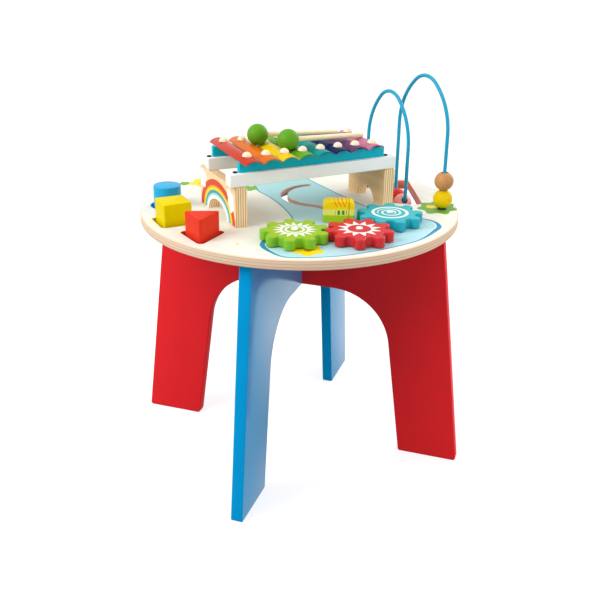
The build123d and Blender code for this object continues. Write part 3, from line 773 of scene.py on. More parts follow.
def bare_wood(name, pale, dark, turn=(0.0, 0.0, 0.0), contrast=1.0, rough=0.5):
    """Lacquered wood with its grain along the turned X axis."""
    look = Finish(name, turn)
    grain = look.group("Wood grain", Pale=pale, Dark=dark, Contrast=contrast)
    return look.done(grain["Color"], rough, grain["Height"], 0.2, 0.2)


def ply_edge(name, pale, dark, glue, way, ply, line):
    """Bare edge of plywood whose plies are stacked along a direction."""
    look = Finish(name)
    dot = {0: look.vector, 1: way}
    across = put(look.tree, "ShaderNodeVectorMath", dot, operation="DOT_PRODUCT").outputs["Value"]
    edge = look.group(
        "Plywood edge", Across=across, Ply=ply, Line=line, Pale=pale, Dark=dark, Glue=glue
    )
    return look.done(edge["Color"], 0.58, edge["Height"], 0.3, 0.15)


def metal(name, colour, rough):
    """Plated or blackened steel with fine brushing."""
    look = Finish(name)
    brush = noise(look.tree, look.vector, (60.0, 60.0, 2400.0), 2.0)
    tone = shaded(look.tree, colour, remap(look.tree, brush, *NOISE_SPAN, 0.82, 1.05))
    gloss = remap(look.tree, brush, *NOISE_SPAN, rough - 0.06, rough + 0.08)
    return look.done(tone, gloss, brush, 0.1, metallic=1.0)


def moulded(name, colour, rough):
    """Moulded plastic with a fine texture."""
    look = Finish(name)
    cloud = noise(look.tree, look.vector, (120.0, 120.0, 120.0), 3.0)
    speck = noise(look.tree, look.vector, (1500.0, 1500.0, 1500.0), 2.0)
    tone = shaded(look.tree, colour, remap(look.tree, cloud, *NOISE_SPAN, 0.94, 1.04))
    gloss = remap(look.tree, cloud, *NOISE_SPAN, rough - 0.04, rough + 0.06)
    return look.done(tone, gloss, speck, 0.12)


# Geometry nodes


def geometry_tree(name, *inputs):
    """An empty geometry group with its sockets."""
    sockets = [(label, kind, None) for label, kind in inputs]
    return node_group(name, sockets, [("Geometry", "Geometry")], "GeometryNodeTree")


def finish_tree(tree, geometry, material, out):
    """Ends a geometry group: real geometry with its material."""
    real = put(tree, "GeometryNodeRealizeInstances", {"Geometry": geometry}).outputs[0]
    dressed = put(tree, "GeometryNodeSetMaterial", {"Geometry": real, "Material": material})
    return give(tree, out, Geometry=dressed.outputs[0])


def scatter_tree():
    """Tree that sets one form on every point of a mesh, turned by the points' own rotation."""
    tree, given, out = geometry_tree(
        "Set on points",
        ("Points", "Geometry"), ("Form", "Object"), ("Size", "Float"), ("Finish", "Material"),
    )
    form = put(tree, "GeometryNodeObjectInfo", {"Object": given["Form"]})
    turn = put(tree, "GeometryNodeInputNamedAttribute", {"Name": "turn"}, data_type="QUATERNION")
    sockets = {
        "Points": given["Points"],
        "Instance": form.outputs["Geometry"],
        "Rotation": turn.outputs["Attribute"],
        "Scale": given["Size"],
    }
    set_out = put(tree, "GeometryNodeInstanceOnPoints", sockets)
    return finish_tree(tree, set_out.outputs[0], given["Finish"], out)


def rod_tree():
    """Tree that sweeps a round section along a curve."""
    tree, given, out = geometry_tree(
        "Round rod",
        ("Path", "Geometry"), ("Radius", "Float"), ("Sides", "Int"), ("Finish", "Material"),
    )
    round_section = {"Resolution": given["Sides"], "Radius": given["Radius"]}
    section = put(tree, "GeometryNodeCurvePrimitiveCircle", round_section).outputs[0]
    sockets = {"Curve": given["Path"], "Profile Curve": section, "Fill Caps": True}
    swept = put(tree, "GeometryNodeCurveToMesh", sockets)
    return finish_tree(tree, swept.outputs[0], given["Finish"], out)


def baked(name, source, tree, **values):
    """Mesh that a tree makes from a mesh or curve; the working object goes."""
    holder = linked(name + "_source", source)
    modifier = holder.modifiers.new("Nodes", "NODES")
    modifier.node_group = tree
    for item in tree.interface.items_tree:
        if item.in_out == "INPUT" and item.name in values:
            modifier[item.identifier] = values[item.name]
    holder.update_tag()
    bpy.context.view_layer.update()
    made = holder.evaluated_get(bpy.context.evaluated_depsgraph_get())
    mesh = bpy.data.meshes.new_from_object(made)
    mesh.name = name
    holder.modifiers.remove(modifier)
    bpy.data.objects.remove(holder)
    return mesh


def scattered(name, form, spots, material):
    """Mesh with a form on each spot; a spot is a point in millimetres and an axis."""
    points = bpy.data.meshes.new(name + "_points")
    points.from_pydata([Vector(spot) * MM for spot, axis in spots], [], [])
    store = points.attributes.new("turn", "QUATERNION", "POINT")
    for index, (spot, axis) in enumerate(spots):
        store.data[index].value = UP.rotation_difference(Vector(axis))
    holder = linked(name + "_form", form)
    tree = bpy.data.node_groups.get("Set on points") or scatter_tree()
    mesh = baked(name, points, tree, Form=holder, Size=1.0, Finish=material)
    bpy.data.objects.remove(holder)
    return mesh


def screw_form(shank_length):
    """Pan head with a cross recess, and its shank under it along +Z; the head seats at zero."""
    shell = Shell()
    arm, reach, depth = 0.16 * SCREW_HEAD, 0.55 * SCREW_HEAD, 0.55 * SCREW_CROWN
    bevel = 0.35 * SCREW_HEAD
    cross = [
        (reach, -arm), (reach, arm), (arm, arm), (arm, reach), (-arm, reach), (-arm, arm),
        (-reach, arm), (-reach, -arm), (-arm, -arm), (-arm, -reach), (arm, -reach), (arm, -arm),
    ]
    cross = turned(np.array(cross), False)
    rim, shank = circle((0, 0), SCREW_HEAD, 28), circle((0, 0), SCREW_SHANK, 16)
    dome = [(0.0, 0.0), (0.0, -0.5 * SCREW_CROWN), (0.12 * SCREW_HEAD, -0.8 * SCREW_CROWN)]
    shell.wall(rim, dome + [(bevel, -SCREW_CROWN)])
    shell.cap([inset(rim, bevel), cross], -SCREW_CROWN)
    shell.wall(cross, [(0.0, -SCREW_CROWN), (0.0, depth - SCREW_CROWN)])
    shell.cap([cross], depth - SCREW_CROWN)
    shell.cap([rim, turned(shank, False)], 0.0)
    shell.wall(shank, [(0.0, 0.0), (0.0, shank_length)])
    shell.cap([shank], shank_length)
    return shell.mesh("screw_form")


# Shared places, in millimetres


def dip_parts():
    """Both ends of the wire's dip, its middle, its level direction and its radius."""
    front, rear = (Vector((*spot, 0)) for spot in DIP_ENDS)
    return front, rear, (front + rear) / 2, (rear - front).normalized(), (rear - front).length / 2


def on_diagonal(along, across, height):
    """Point measured along and across the xylophone's diagonal, above the board."""
    return DIAGONAL * along + CROSSWAYS * across + UP * (BOARD_TOP + height)


def slot_path():
    """Middle line of the curved slot: two arcs that join smoothly."""
    far = arc((16.0, 62.0), 60.0, 128.0, 270.0, 3.0)
    near = arc((16.0, -61.0), 63.0, 90.0, 6.0, 3.0)
    return np.concatenate([far[:-1], near])


def bar_along(index):
    """Where a bar's middle line crosses the front rail."""
    return FIRST_BAR + BAR_PITCH * index


def bar_point(index, reach, height):
    """Point on a bar's middle line, measured from the front rail."""
    return on_diagonal(bar_along(index), FRONT_RAIL, height) + BAR_WAY * reach


def bar_crossing(index, across, height):
    """Point on a bar's middle line at a place across the diagonal."""
    along = bar_along(index) + (across - FRONT_RAIL) * math.tan(BAR_LEAN)
    return on_diagonal(along, across, height)


def rear_pin_reach(index):
    """How far along a bar the slanted rear rail is from the front rail."""
    fall = (REAR_RAIL_RIGHT - REAR_RAIL_LEFT) / (RAIL_END - REAR_RAIL_START)
    gap = REAR_RAIL_LEFT + fall * (bar_along(index) - REAR_RAIL_START) - FRONT_RAIL
    return gap / (math.cos(BAR_LEAN) - fall * math.sin(BAR_LEAN))


def board_prints():
    """Outlines of the printed water, leaves and flowers."""
    stream = smooth_loop(
        [
            (7, -193), (33, -219), (62, -228), (112, -206), (148, -178), (181, -142),
            (211, -98), (226, -50), (227, -26), (208, -4), (152, 8), (97, 32), (58, 64),
            (22, 95), (-8, 122), (-38, 150), (-74, 178), (-112, 168), (-124, 118), (-92, 52),
            (-55, 17), (-18, -26), (12, -72), (18, -110), (8, -150),
        ]
    )
    leaves, petals = [], []
    for x, y, size, lobes, turn in (
        (205, 60, 28, 7, 10), (-217, 44, 9, 5, 30), (-104, 56, 12, 5, 0),
    ):
        angle = np.radians(np.arange(0, 360, 4) + turn)
        radius = size * (1 + 0.13 * np.cos(lobes * angle))
        tall = 1.12 * radius
        leaves.append(np.stack([x + radius * np.cos(angle), y + tall * np.sin(angle)], 1))
    for x, y, size in ((76, -192, 23), (-188, 60, 27), (195, 61, 9), (-22, -201, 3.5)):
        angle = np.radians(np.arange(0, 360, 4))
        radius = size * (0.7 + 0.3 * np.abs(np.cos(2.5 * angle)))
        petals.append(np.stack([x + radius * np.cos(angle), y + radius * np.sin(angle)], 1))
    return {"water": [stream], "leaf": leaves, "petal": petals}


def shore_stroke(points):
    """Half width of the shore line: a brush stroke that swells at both ends of the pond."""
    swell, swell_reach = np.zeros(len(points)), 42.0
    for x, y in ((10, -190), (226, -40)):
        away = (points[:, 0] - x) ** 2 + (points[:, 1] - y) ** 2
        swell += np.exp(-away / swell_reach**2)
    return 1.2 + 2.5 * swell


def board_top_finish(look):
    """Pale lacquered face with the prints on it."""
    grain_turn, leaf_rim, petal_width = (0, 0, 27), 1.4, 11.0
    top = Finish("Board top", grain_turn)
    tree = top.tree
    grain = top.group("Wood grain", Pale=look.pale, Dark=look.dark, Contrast=0.75)
    water, stroke = top.stored("water"), top.stored("stroke")
    # The water turns from the pond colour at the front to the darker stream colour at the back:
    # partly print, partly painted shade under the xylophone.
    far_water_and_shade_share = remap(tree, top.stored("flow"), -70.0, 110.0, 0.0, 1.0)
    water_ink = blend_colour(tree, far_water_and_shade_share, look.pond, look.stream)
    wash = blend_colour(tree, 0.12, water_ink, grain["Color"])
    from_middle = calc(tree, "ABSOLUTE", calc(tree, "ADD", water, stroke))
    shore_line = calc(tree, "SUBTRACT", from_middle, stroke)
    foam = calc(tree, "MULTIPLY", calc(tree, "SUBTRACT", stroke, 1.25), 0.7)
    foam_line = calc(tree, "SUBTRACT", shore_line, foam)
    leaf, petal = top.stored("leaf"), top.stored("petal")
    inner_leaf = calc(tree, "ADD", leaf, leaf_rim)
    heart = calc(tree, "ADD", petal, petal_width)
    colour = top.overprint(
        grain["Color"],
        (water, wash),
        (foam_line, look.foam),
        (shore_line, look.shore),
        (leaf, top.overprint([c * 0.7 for c in look.leaf], (inner_leaf, look.leaf))),
        (petal, top.overprint(look.petal, (heart, look.heart))),
    )
    return top.done(colour, 0.42, grain["Height"], 0.12, 0.2)


class PLAYTABLE_OT_board(bpy.types.Operator):
    """Round board with its pockets, slot, window and prints"""

    bl_idname = "playtable.board"
    bl_label = "Board"

    def execute(self, context):
        look = context.scene.playtable_board
        toys = context.scene.playtable_toys
        edge, cut = look.edge / MM, look.cut_edge / MM
        slot_width, groove_width, lip_depth, prism_room = 11.0, 24.0, 7, 10.0
        face, plain, side, window_wall_with_painted_light, slot_wall_with_painted_light, first_pocket = range(6)
        rim = circle((0, 0), BOARD_RADIUS, 288)
        slot = turned(ribbon(slot_path(), slot_width), False)
        groove = turned(ribbon(slot_path(), groove_width), False)
        window = rounded(
            [(183, 61), (130.5, 193.5), (112, 193.5), (107, 100), (126, 61)], (14, 7, 9, 30, 12)
        )
        window = turned(window, False)
        pockets = block_outlines(POCKET_HALF, PRISM_CORNER + prism_room, 72, (6, 6), (6.0, 6.0))
        pockets = [turned(pocket, False) for pocket in pockets]
        floor, lip = BOARD_TOP - POCKET_DEPTH, BOARD_TOP - lip_depth
        top_loops = [inset(rim, edge)] + [inset(loop, cut) for loop in [slot, window] + pockets]
        under_loops = [inset(rim, edge), inset(groove, cut), inset(window, cut)]
        shell = Shell()
        shell.cap(top_loops, BOARD_TOP, face, 3.4)
        shell.cap(under_loops, BOARD_UNDERSIDE, plain)
        shell.wall(rim, rounded_edge(BOARD_UNDERSIDE, BOARD_TOP, edge, 4), side)
        shell.wall(window, rounded_edge(BOARD_UNDERSIDE, BOARD_TOP, cut), window_wall_with_painted_light)
        shell.wall(slot, rounded_edge(lip, BOARD_TOP, cut, foot=0.0), slot_wall_with_painted_light)
        shell.cap([turned(groove), slot], lip, plain)
        shell.wall(groove, rounded_edge(BOARD_UNDERSIDE, lip, 0.0, foot=cut), plain)
        for index, pocket in enumerate(pockets):
            shell.wall(pocket, rounded_edge(floor, BOARD_TOP, cut, foot=0.0), first_pocket + index)
            shell.cap([turned(pocket)], floor, plain)
        mesh = shell.mesh("Board")
        for name, loops in board_prints().items():
            field(mesh, name, lambda p: np.min([signed_distance(p[:, :2], s) for s in loops], 0))
        field(mesh, "stroke", shore_stroke)
        field(mesh, "flow", lambda p: p[:, 1])
        materials = [
            board_top_finish(look),
            bare_wood("Board underside", look.pale, look.dark, contrast=1.2),
            ply_edge("Board rim", look.rim_pale, look.rim_dark, look.glue, (0, 0, 1), 0.0042, 0.36),
            # The window walls are painted paler than their coral paint, as painted light on walls
            # in shade.
            painted("Window edge", look.window, 0.45),
            # The slot walls are painted paler than the scorched wood, as painted light on walls in
            # shade.
            painted("Slot edge", look.slot, 0.6),
            painted("Blue pocket", toys.blue, 0.4),
            painted("Yellow pocket", toys.yellow, 0.4),
            painted("Red pocket", toys.red, 0.4),
        ]
        piece("Board", mesh, materials, "table", ["tabletop"])
        return {"FINISHED"}


class PLAYTABLE_OT_legs(bpy.types.Operator):
    """Two arched panels, halved over each other, with their brackets"""

    bl_idname = "playtable.legs"
    bl_label = "Leg panels"

    def execute(self, context):
        look = context.scene.playtable_legs
        half = look.thickness / MM / 2
        gap = half + 0.1
        foot, instep, shoulder, arch, top = 277, 181, 143, 276, 228
        lap = (arch + BOARD_UNDERSIDE) / 2
        left = [(-foot, 0), (-instep, 0), (-shoulder, arch)]
        right = [(shoulder, arch), (instep, 0), (foot, 0), (top, BOARD_UNDERSIDE)]
        high_notch = [(gap, BOARD_UNDERSIDE), (gap, lap), (-gap, lap), (-gap, BOARD_UNDERSIDE)]
        low_notch = [(-gap, arch), (-gap, lap), (gap, lap), (gap, arch)]
        last = [(-top, BOARD_UNDERSIDE)]
        radii = {corner: 4 for corner in left + right if corner[1] == 0}
        radii.update({(-shoulder, arch): 95, (shoulder, arch): 95})
        for name, colour, corners, x_way, gloss, sheen in (
            ("red", look.red, left + right + high_notch + last, (1, 0, 0), 0.34, 0.12),
            ("blue", look.blue, left + low_notch + right + last, (0, 1, 0), 0.18, 1.0),
        ):
            outline = rounded(corners, [radii.get(corner, 0) for corner in corners], 4.0)
            place = placed((0, 0, 0), x_way, UP)
            mesh = plate(name + "_panel", place, outline, [], -half, half, look.edge / MM, 1)
            label = name.capitalize() + " panel"
            face = painted(label + " paint", colour, gloss, 0.6, UPRIGHT_GRAIN, sheen)
            edge = painted(label + " edge paint", colour, 0.4, 0.6, UPRIGHT_GRAIN, 0.05)
            nodes, slot = [name + "_leg_panel"], name + "_paint"
            piece(name.capitalize() + "Panel", mesh, [face, edge], "table", nodes)
        redress("leg_brackets", metal("Bracket zinc", look.plating, 0.34))
        away, level_arm, wall = 150, 24, 11
        under, beside = BOARD_UNDERSIDE - 2, BOARD_UNDERSIDE - 15
        spots = []
        for run in (away, -away):
            spots.append(((run, level_arm, under), UP))
            spots.append(((run, wall, beside), (0, -1, 0)))
            spots.append(((-level_arm, run, under), UP))
            spots.append(((-wall, run, beside), (1, 0, 0)))
        steel = metal("Screw steel", look.screw, 0.3)
        mesh = scattered("BracketScrews", screw_form(11.0), spots, steel)
        piece("BracketScrews", mesh, [], "table", ["bracket_screws"])
        return {"FINISHED"}


def make_support(side, along, rear, arch, materials):
    """Plywood support: arched foot, rounded inner top edge, ring by ring through it."""
    middle, half = arch
    sweep = np.radians(np.linspace(180, 0, 41))
    bow = np.stack([middle + half * np.cos(sweep), ARCH_HEIGHT * np.sin(sweep)], 1)
    front, tall = SUPPORT_FRONT, SUPPORT_HEIGHT
    top = rounded([(rear, 0), (rear, tall), (front, tall), (front, 0)], [0, 3, 3, 0], 15)
    outline = turned(np.concatenate([[(front, 0.0)], bow, top[:-1]]), True)
    thick, soft, bend = SUPPORT_THICK, 0.6, 6.0
    steps = [(soft, 0.0), (0.0, soft)]
    steps += [(0.0, thick - bend + bend * s) for s in (0.0, 0.35, 0.62, 0.82, 0.93)]
    steps += [(soft, thick)]
    inner_is_far = side == "left"
    shell = Shell()
    rings, shapes = [], []
    for depth, place in steps:
        shape = inset(outline, depth) if depth else outline.copy()
        rest = max(0.0, place - (thick - bend))
        ceiling = tall - (bend - math.sqrt(max(0.0, bend**2 - rest**2)))
        shape[:, 1] = np.clip(shape[:, 1], 0.0, max(ceiling, tall - bend))
        run = place if inner_is_far else thick - place
        shapes.append(shape)
        rings.append(shell.ring([(x, y, run) for x, y in shape]))
    shell.skin(rings, 1)
    outer, inner = (0.0, thick) if inner_is_far else (thick, 0.0)
    shell.cap([shapes[0]], outer, 0, 2.2)
    shell.cap([shapes[-1]], inner, 2)
    name = side.capitalize() + "Support"
    mesh = shell.mesh(name, placed(on_diagonal(along, 0, 0), CROSSWAYS, UP))
    if inner_is_far:
        field(mesh, "band", lambda p: rainbow_band(p, middle, half))
        field(mesh, "cloud", cloud_distance)
    node = f"xylophone_{side}_support"
    piece(name, mesh, materials, "table", [node])


def across_and_up(points):
    """Places across the diagonal and above the board."""
    return points @ np.array(CROSSWAYS), points[:, 2] - BOARD_TOP


def rainbow_band(points, middle, half):
    """Which band of the rainbow a point is in, counted out from the arch, found by halving."""
    across, height = across_and_up(points)
    full_half, extra_height = 68.0, 30.0
    low, high = np.full(len(points), -0.2), np.full(len(points), 3.0)
    for _ in range(24):
        guess = (low + high) / 2
        wide, tall = half + (full_half - half) * guess, ARCH_HEIGHT + extra_height * guess
        outside = ((across - middle) / wide) ** 2 + (height / tall) ** 2 > 1
        low, high = np.where(outside, guess, low), np.where(outside, high, guess)
    return (low + high) / 2


def cloud_distance(points):
    """Distance from the printed clouds, below zero inside them."""
    across, height = across_and_up(points)
    best = np.full(len(points), 1e9)
    for x, y, radius in (
        (67, 49, 8), (58, 46, 8), (66, 39, 8), (60, 34, 6), (71, 33, 5),
        (-40, 45, 7.5), (-49, 40, 8), (-43, 33, 8), (-52, 29, 7), (-47, 23, 5.5),
    ):
        best = np.minimum(best, np.hypot(across - x, height - y) - radius)
    return best


def rainbow_finish(look):
    """Plywood face with a printed rainbow round its arch."""
    skin = Finish("Rainbow face", DIAGONAL_GRAIN)
    grain = skin.group("Wood grain", Pale=look.pale, Dark=look.dark, Contrast=1.0)
    band, colour, soft = skin.stored("band"), grain["Color"], 0.012
    for outer, ink in (
        (1.0, look.rainbow_red), (0.70, look.rainbow_orange), (0.62, look.rainbow_yellow),
        (0.46, look.rainbow_teal), (0.31, look.rainbow_blue), (0.20, look.rainbow_white),
    ):
        within = remap(skin.tree, band, outer - soft, outer + soft, 1.0, 0.0)
        colour = blend_colour(skin.tree, within, colour, ink)
    colour = skin.overprint(colour, (skin.stored("cloud"), look.cloud))
    return skin.done(colour, 0.48, grain["Height"], 0.15, 0.15)


class PLAYTABLE_OT_xylophone_frame(bpy.types.Operator):
    """Supports, rails, strips and their screws"""

    bl_idname = "playtable.xylophone_frame"
    bl_label = "Xylophone frame"

    def execute(self, context):
        look = context.scene.playtable_xylophone
        glue = context.scene.playtable_board.glue
        # The faces take the darker, warmer face wood, which is partly painted shade and bounce
        # light under the bars.
        face = bare_wood("Support plywood", look.face_pale_and_bounce_light, look.face_dark_and_bounce_light, DIAGONAL_GRAIN, 1.1)
        edge = ply_edge("Support plies", look.pale, look.dark, glue, tuple(DIAGONAL), 0.0036, 0.85)
        make_support("left", -134.0, 76.0, (6.0, 36.0), [rainbow_finish(look), edge, face])
        make_support("right", 112.0, 45.0, (-9.0, 26.0), [face, edge, face])
        white = painted("Rail paint", look.rail, 0.42, 0.5, DIAGONAL_GRAIN)
        teal = painted("Strip paint", look.strip, 0.36, 0.7, DIAGONAL_GRAIN)
        rail_section = oblong(RAIL_SIZE / 2, 0, RAIL_SIZE, [1.5] * 4, 22)
        strip_section = oblong(4.5, RAIL_SIZE, RAIL_SIZE + STRIP_HEIGHT, [0.6] * 4, 45)
        rail_screws = []
        for name, first, left, right in (
            ("front", -141.5, FRONT_RAIL, FRONT_RAIL),
            ("rear", REAR_RAIL_START, REAR_RAIL_LEFT, REAR_RAIL_RIGHT),
        ):
            start = on_diagonal(first, left, SUPPORT_HEIGHT)
            way = on_diagonal(RAIL_END, right, SUPPORT_HEIGHT) - start
            reach, strip_start = way.length, STRIP_START - first
            place = placed(start, UP.cross(way.normalized()), UP)
            label, node = name.capitalize() + "Rail", name + "_rail"
            mesh = plate(node, place, rail_section, [], 0, reach, 0.8)
            piece(label, mesh, [white], "table", [node])
            label, node = name.capitalize() + "Strip", name + "_strip"
            mesh = plate(node, place, strip_section, [], strip_start, reach - 18.0, 0.6)
            piece(label, mesh, [teal], "table", [node])
            for run in (strip_start - 5.0, reach - 13.0):
                spot = start + way.normalized() * run + UP * RAIL_SIZE
                rail_screws.append((spot, (0, 0, -1)))
        black = metal("Black screws", look.rail_screw, 0.36)
        mesh = scattered("RailScrews", screw_form(33.0), rail_screws, black)
        piece("RailScrews", mesh, [], "table", ["rail_screws"])
        spots = []
        for along, rear in ((-125.0, 60.0), (121.0, 29.0)):
            for across in (-49.0, rear):
                spot = on_diagonal(along, across, BOARD_UNDERSIDE - BOARD_TOP)
                spots.append((spot, UP))
        steel = bpy.data.materials["Screw steel"]
        mesh = scattered("SupportScrews", screw_form(37.0), spots, steel)
        piece("SupportScrews", mesh, [], "table", ["support_screws"])
        return {"FINISHED"}


def make_pins(look):
    """Two pins through each bar."""
    head, crown, shank, reach, steps = 7.0, 6.2, 2.0, 17.0, 9
    dome = (head**2 + crown**2) / (2 * crown)
    rim = math.asin(head / dome)
    profile = [(0, crown)]
    for angle in np.linspace(rim / steps, rim, steps):
        profile.append((dome * math.sin(angle), crown - dome * (1 - math.cos(angle))))
    profile += [(head - 0.3, -0.01), (shank, -0.01), (shank, -reach), (0, -reach)]
    spots = []
    for index in range(len(BAR_NAMES)):
        for along in (0.0, rear_pin_reach(index)):
            spots.append((bar_point(index, along, BAR_CROWN), UP))
    cream = moulded("Pin heads", look.pin, 0.3)
    mesh = scattered("BarPins", lathed("pin_form", profile, 28), spots, cream)
    piece("BarPins", mesh, [], "table", ["bar_pins"])


class PLAYTABLE_OT_bars(bpy.types.Operator):
    """Arched sound bars and their dome-headed pins"""

    bl_idname = "playtable.bars"
    bl_label = "Sound bars"

    def execute(self, context):
        look = context.scene.playtable_xylophone
        sheet = look.bar_sheet / MM
        spread = math.degrees(math.asin(BAR_HALF / BAR_BOW))
        inner = math.degrees(math.acos((BAR_BOW - BAR_RISE) / (BAR_BOW - sheet)))
        centre = (0, BAR_RISE - BAR_BOW)
        outer_arc = arc(centre, BAR_BOW, 90 - spread, 90 + spread, 3.2)
        inner_arc = arc(centre, BAR_BOW - sheet, 90 + inner, 90 - inner, 3.2)
        section = turned(np.concatenate([outer_arc, inner_arc]), True)
        for index, name in enumerate(BAR_NAMES):
            share = index / (len(BAR_NAMES) - 1)
            front, rear = 31.0 - 14.0 * share, 126.0 - 32.0 * share
            place = placed(bar_point(index, -front, BAR_BASE), UP.cross(BAR_WAY), UP)
            node = "bar_" + name
            mesh = plate(node, place, section, [], 0, rear + front, 0.3)
            colour = getattr(look, node)
            finish = painted("Bar " + name, colour, 0.24, 0.0, DIAGONAL_GRAIN, 0.08, 0.12)
            piece("Bar" + name.capitalize(), mesh, [finish], "table", [node])
        make_pins(look)
        return {"FINISHED"}


class PLAYTABLE_OT_mallets(bpy.types.Operator):
    """Two mallets that lie on the bars"""

    bl_idname = "playtable.mallets"
    bl_label = "Mallets"

    def execute(self, context):
        look = context.scene.playtable_toys
        radius, stick, socket, play = 15.7, 4.0, 3.7, 0.2
        stick_end, tip = 136.0, 1.5
        mouth = math.sqrt(radius**2 - stick**2)
        valley_rise = math.sqrt((BAR_BOW + radius + play) ** 2 - (BAR_SPACING / 2) ** 2)
        ball_height, rest_height = BAR_CROWN - BAR_BOW + valley_rise, BAR_CROWN + play + stick
        turn = np.linspace(math.pi, math.asin((stick + 0.6) / radius), 32)
        head = [(radius * math.sin(a), radius * math.cos(a)) for a in turn]
        head[0] = (0.0, -radius)
        head += [(stick, mouth - 0.8), (stick, socket), (0.0, socket)]
        shank = [(0, socket), (stick, socket), (stick, mouth), (stick, 60.0)]
        for a in np.linspace(0, QUARTER_TURN, 6):
            shank.append((stick - tip * (1 - math.cos(a)), stick_end - tip + tip * math.sin(a)))
        shank.append((0.0, stick_end))
        green = painted("Mallet paint", look.mallet, 0.4, 0.4)
        dark = [c * 0.72 for c in look.stick]
        for number, valley, across, rest_bar, rest_across in (
            (1, 1.5, 12.0, 6, 13.0),
            (2, 2.5, -37.0, 7, -20.5),
        ):
            ball = bar_crossing(valley, across, ball_height)
            way = (bar_crossing(rest_bar, rest_across, rest_height) - ball).normalized()
            place, body = standing(ball, way), f"mallet_{number}"
            mesh = lathed("mallet_head", head, 64, place)
            nodes = [f"mallet_head_{number}"]
            piece(f"MalletHead{number}", mesh, [green], body, nodes)
            mesh = lathed("mallet_stick", shank, 32, place)
            heading = math.degrees(math.atan2(way.y, way.x))
            wood = bare_wood(f"Stick wood {number}", look.stick, dark, (0, 0, -heading), 0.8)
            nodes = [f"mallet_stick_{number}"]
            piece(f"MalletStick{number}", mesh, [wood], body, nodes)
        return {"FINISHED"}


class PLAYTABLE_OT_blocks(bpy.types.Operator):
    """Shape blocks in their pockets"""

    bl_idname = "playtable.blocks"
    bl_label = "Shape blocks"

    def execute(self, context):
        look = context.scene.playtable_toys
        floor, top, edge = BOARD_TOP - POCKET_DEPTH, BOARD_TOP + 32, 1.5
        outlines = block_outlines(BLOCK_HALF, PRISM_CORNER, 96, (1.5, 3), (15, 10))
        for outline, (name, colour, shine) in zip(
            outlines, (("cylinder", "blue", 0.35), ("cube", "yellow", 0.03), ("prism", "red", 0.05))
        ):
            node, label = "block_" + name, f"{colour.capitalize()} block paint"
            mesh = plate(node, None, outline, [], floor, top, edge)
            finish = painted(label, getattr(look, colour), 0.38, 0.8, UPRIGHT_GRAIN, shine)
            piece("Block" + name.capitalize(), mesh, [finish], name, [node])
        return {"FINISHED"}


def gear_outline(teeth=9, lobe_circle=40.5, lobe=8.2, root=37.0, soft=3.0):
    """Round-lobed gear: lobe, root fillet, root and fillet again for each tooth."""
    fillet_circle = root + soft
    chord = lobe_circle**2 + fillet_circle**2 - (lobe + soft) ** 2
    swing = math.acos(chord / (2 * lobe_circle * fillet_circle))
    fillet_x = fillet_circle * math.cos(swing)
    fillet_y = fillet_circle * math.sin(swing)
    lean = math.degrees(math.atan2(fillet_y, fillet_x - lobe_circle))
    swing_deg = math.degrees(swing)
    half_pitch = 180.0 / teeth
    lobe_arc = arc((lobe_circle, 0), lobe, -lean, lean, 9.0)
    up_fillet = arc((fillet_x, fillet_y), soft, lean - 180, swing_deg - 180, 18.0)
    root_arc = arc((0, 0), root, swing_deg, 2 * half_pitch - swing_deg, 4.0)
    down_fillet = spun(up_fillet[::-1] * np.array([1, -1]), (0, 0), 2 * half_pitch)
    tooth = np.concatenate([lobe_arc, up_fillet[1:], root_arc[1:], down_fillet[1:-1]])
    return np.concatenate([spun(tooth, (0, 0), 2 * half_pitch * i) for i in range(teeth)])


def star_ring(flat):
    """Star with a round opening."""
    opening = 16.4 - np.hypot(*flat.T)
    return np.maximum(signed_distance(flat, star(12, 33.0, 18.5)), opening)


def sun_ring(flat):
    """Ring and a wreath of thin rays round it."""
    radius = np.hypot(*flat.T)
    rays = np.maximum(signed_distance(flat, star(16, 33.0, 19.0)), 17.0 - radius)
    return np.minimum(rays, np.abs(radius - 12.6) - 1.7)


def spiral_ring(flat):
    """Ring with a spiral line inside it."""
    radius = np.hypot(*flat.T)
    turn = np.arctan2(flat[:, 1], flat[:, 0]) / FULL_TURN
    pitch = 7.4
    line = np.abs((radius / pitch - turn + 0.5) % 1.0 - 0.5) * pitch - 1.5
    line = np.maximum(line, np.maximum(7.0 - radius, radius - 19.0))
    return np.minimum(np.abs(radius - 25.0) - 2.3, line)


def gear_finish(name, colour, ornament):
    """Gear paint with its printed ornament, which lets a little of the paint through."""
    skin = Finish(name.capitalize() + " gear paint")
    film = skin.group("Paint film", Color=colour, Gloss=0.34, Grain=0.5)
    mask = calc(skin.tree, "MULTIPLY", skin.ink(skin.stored("ornament")), 0.92)
    shade = blend_colour(skin.tree, mask, film["Color"], ornament)
    return skin.done(shade, film["Roughness"], film["Height"], 0.15, 0.15)


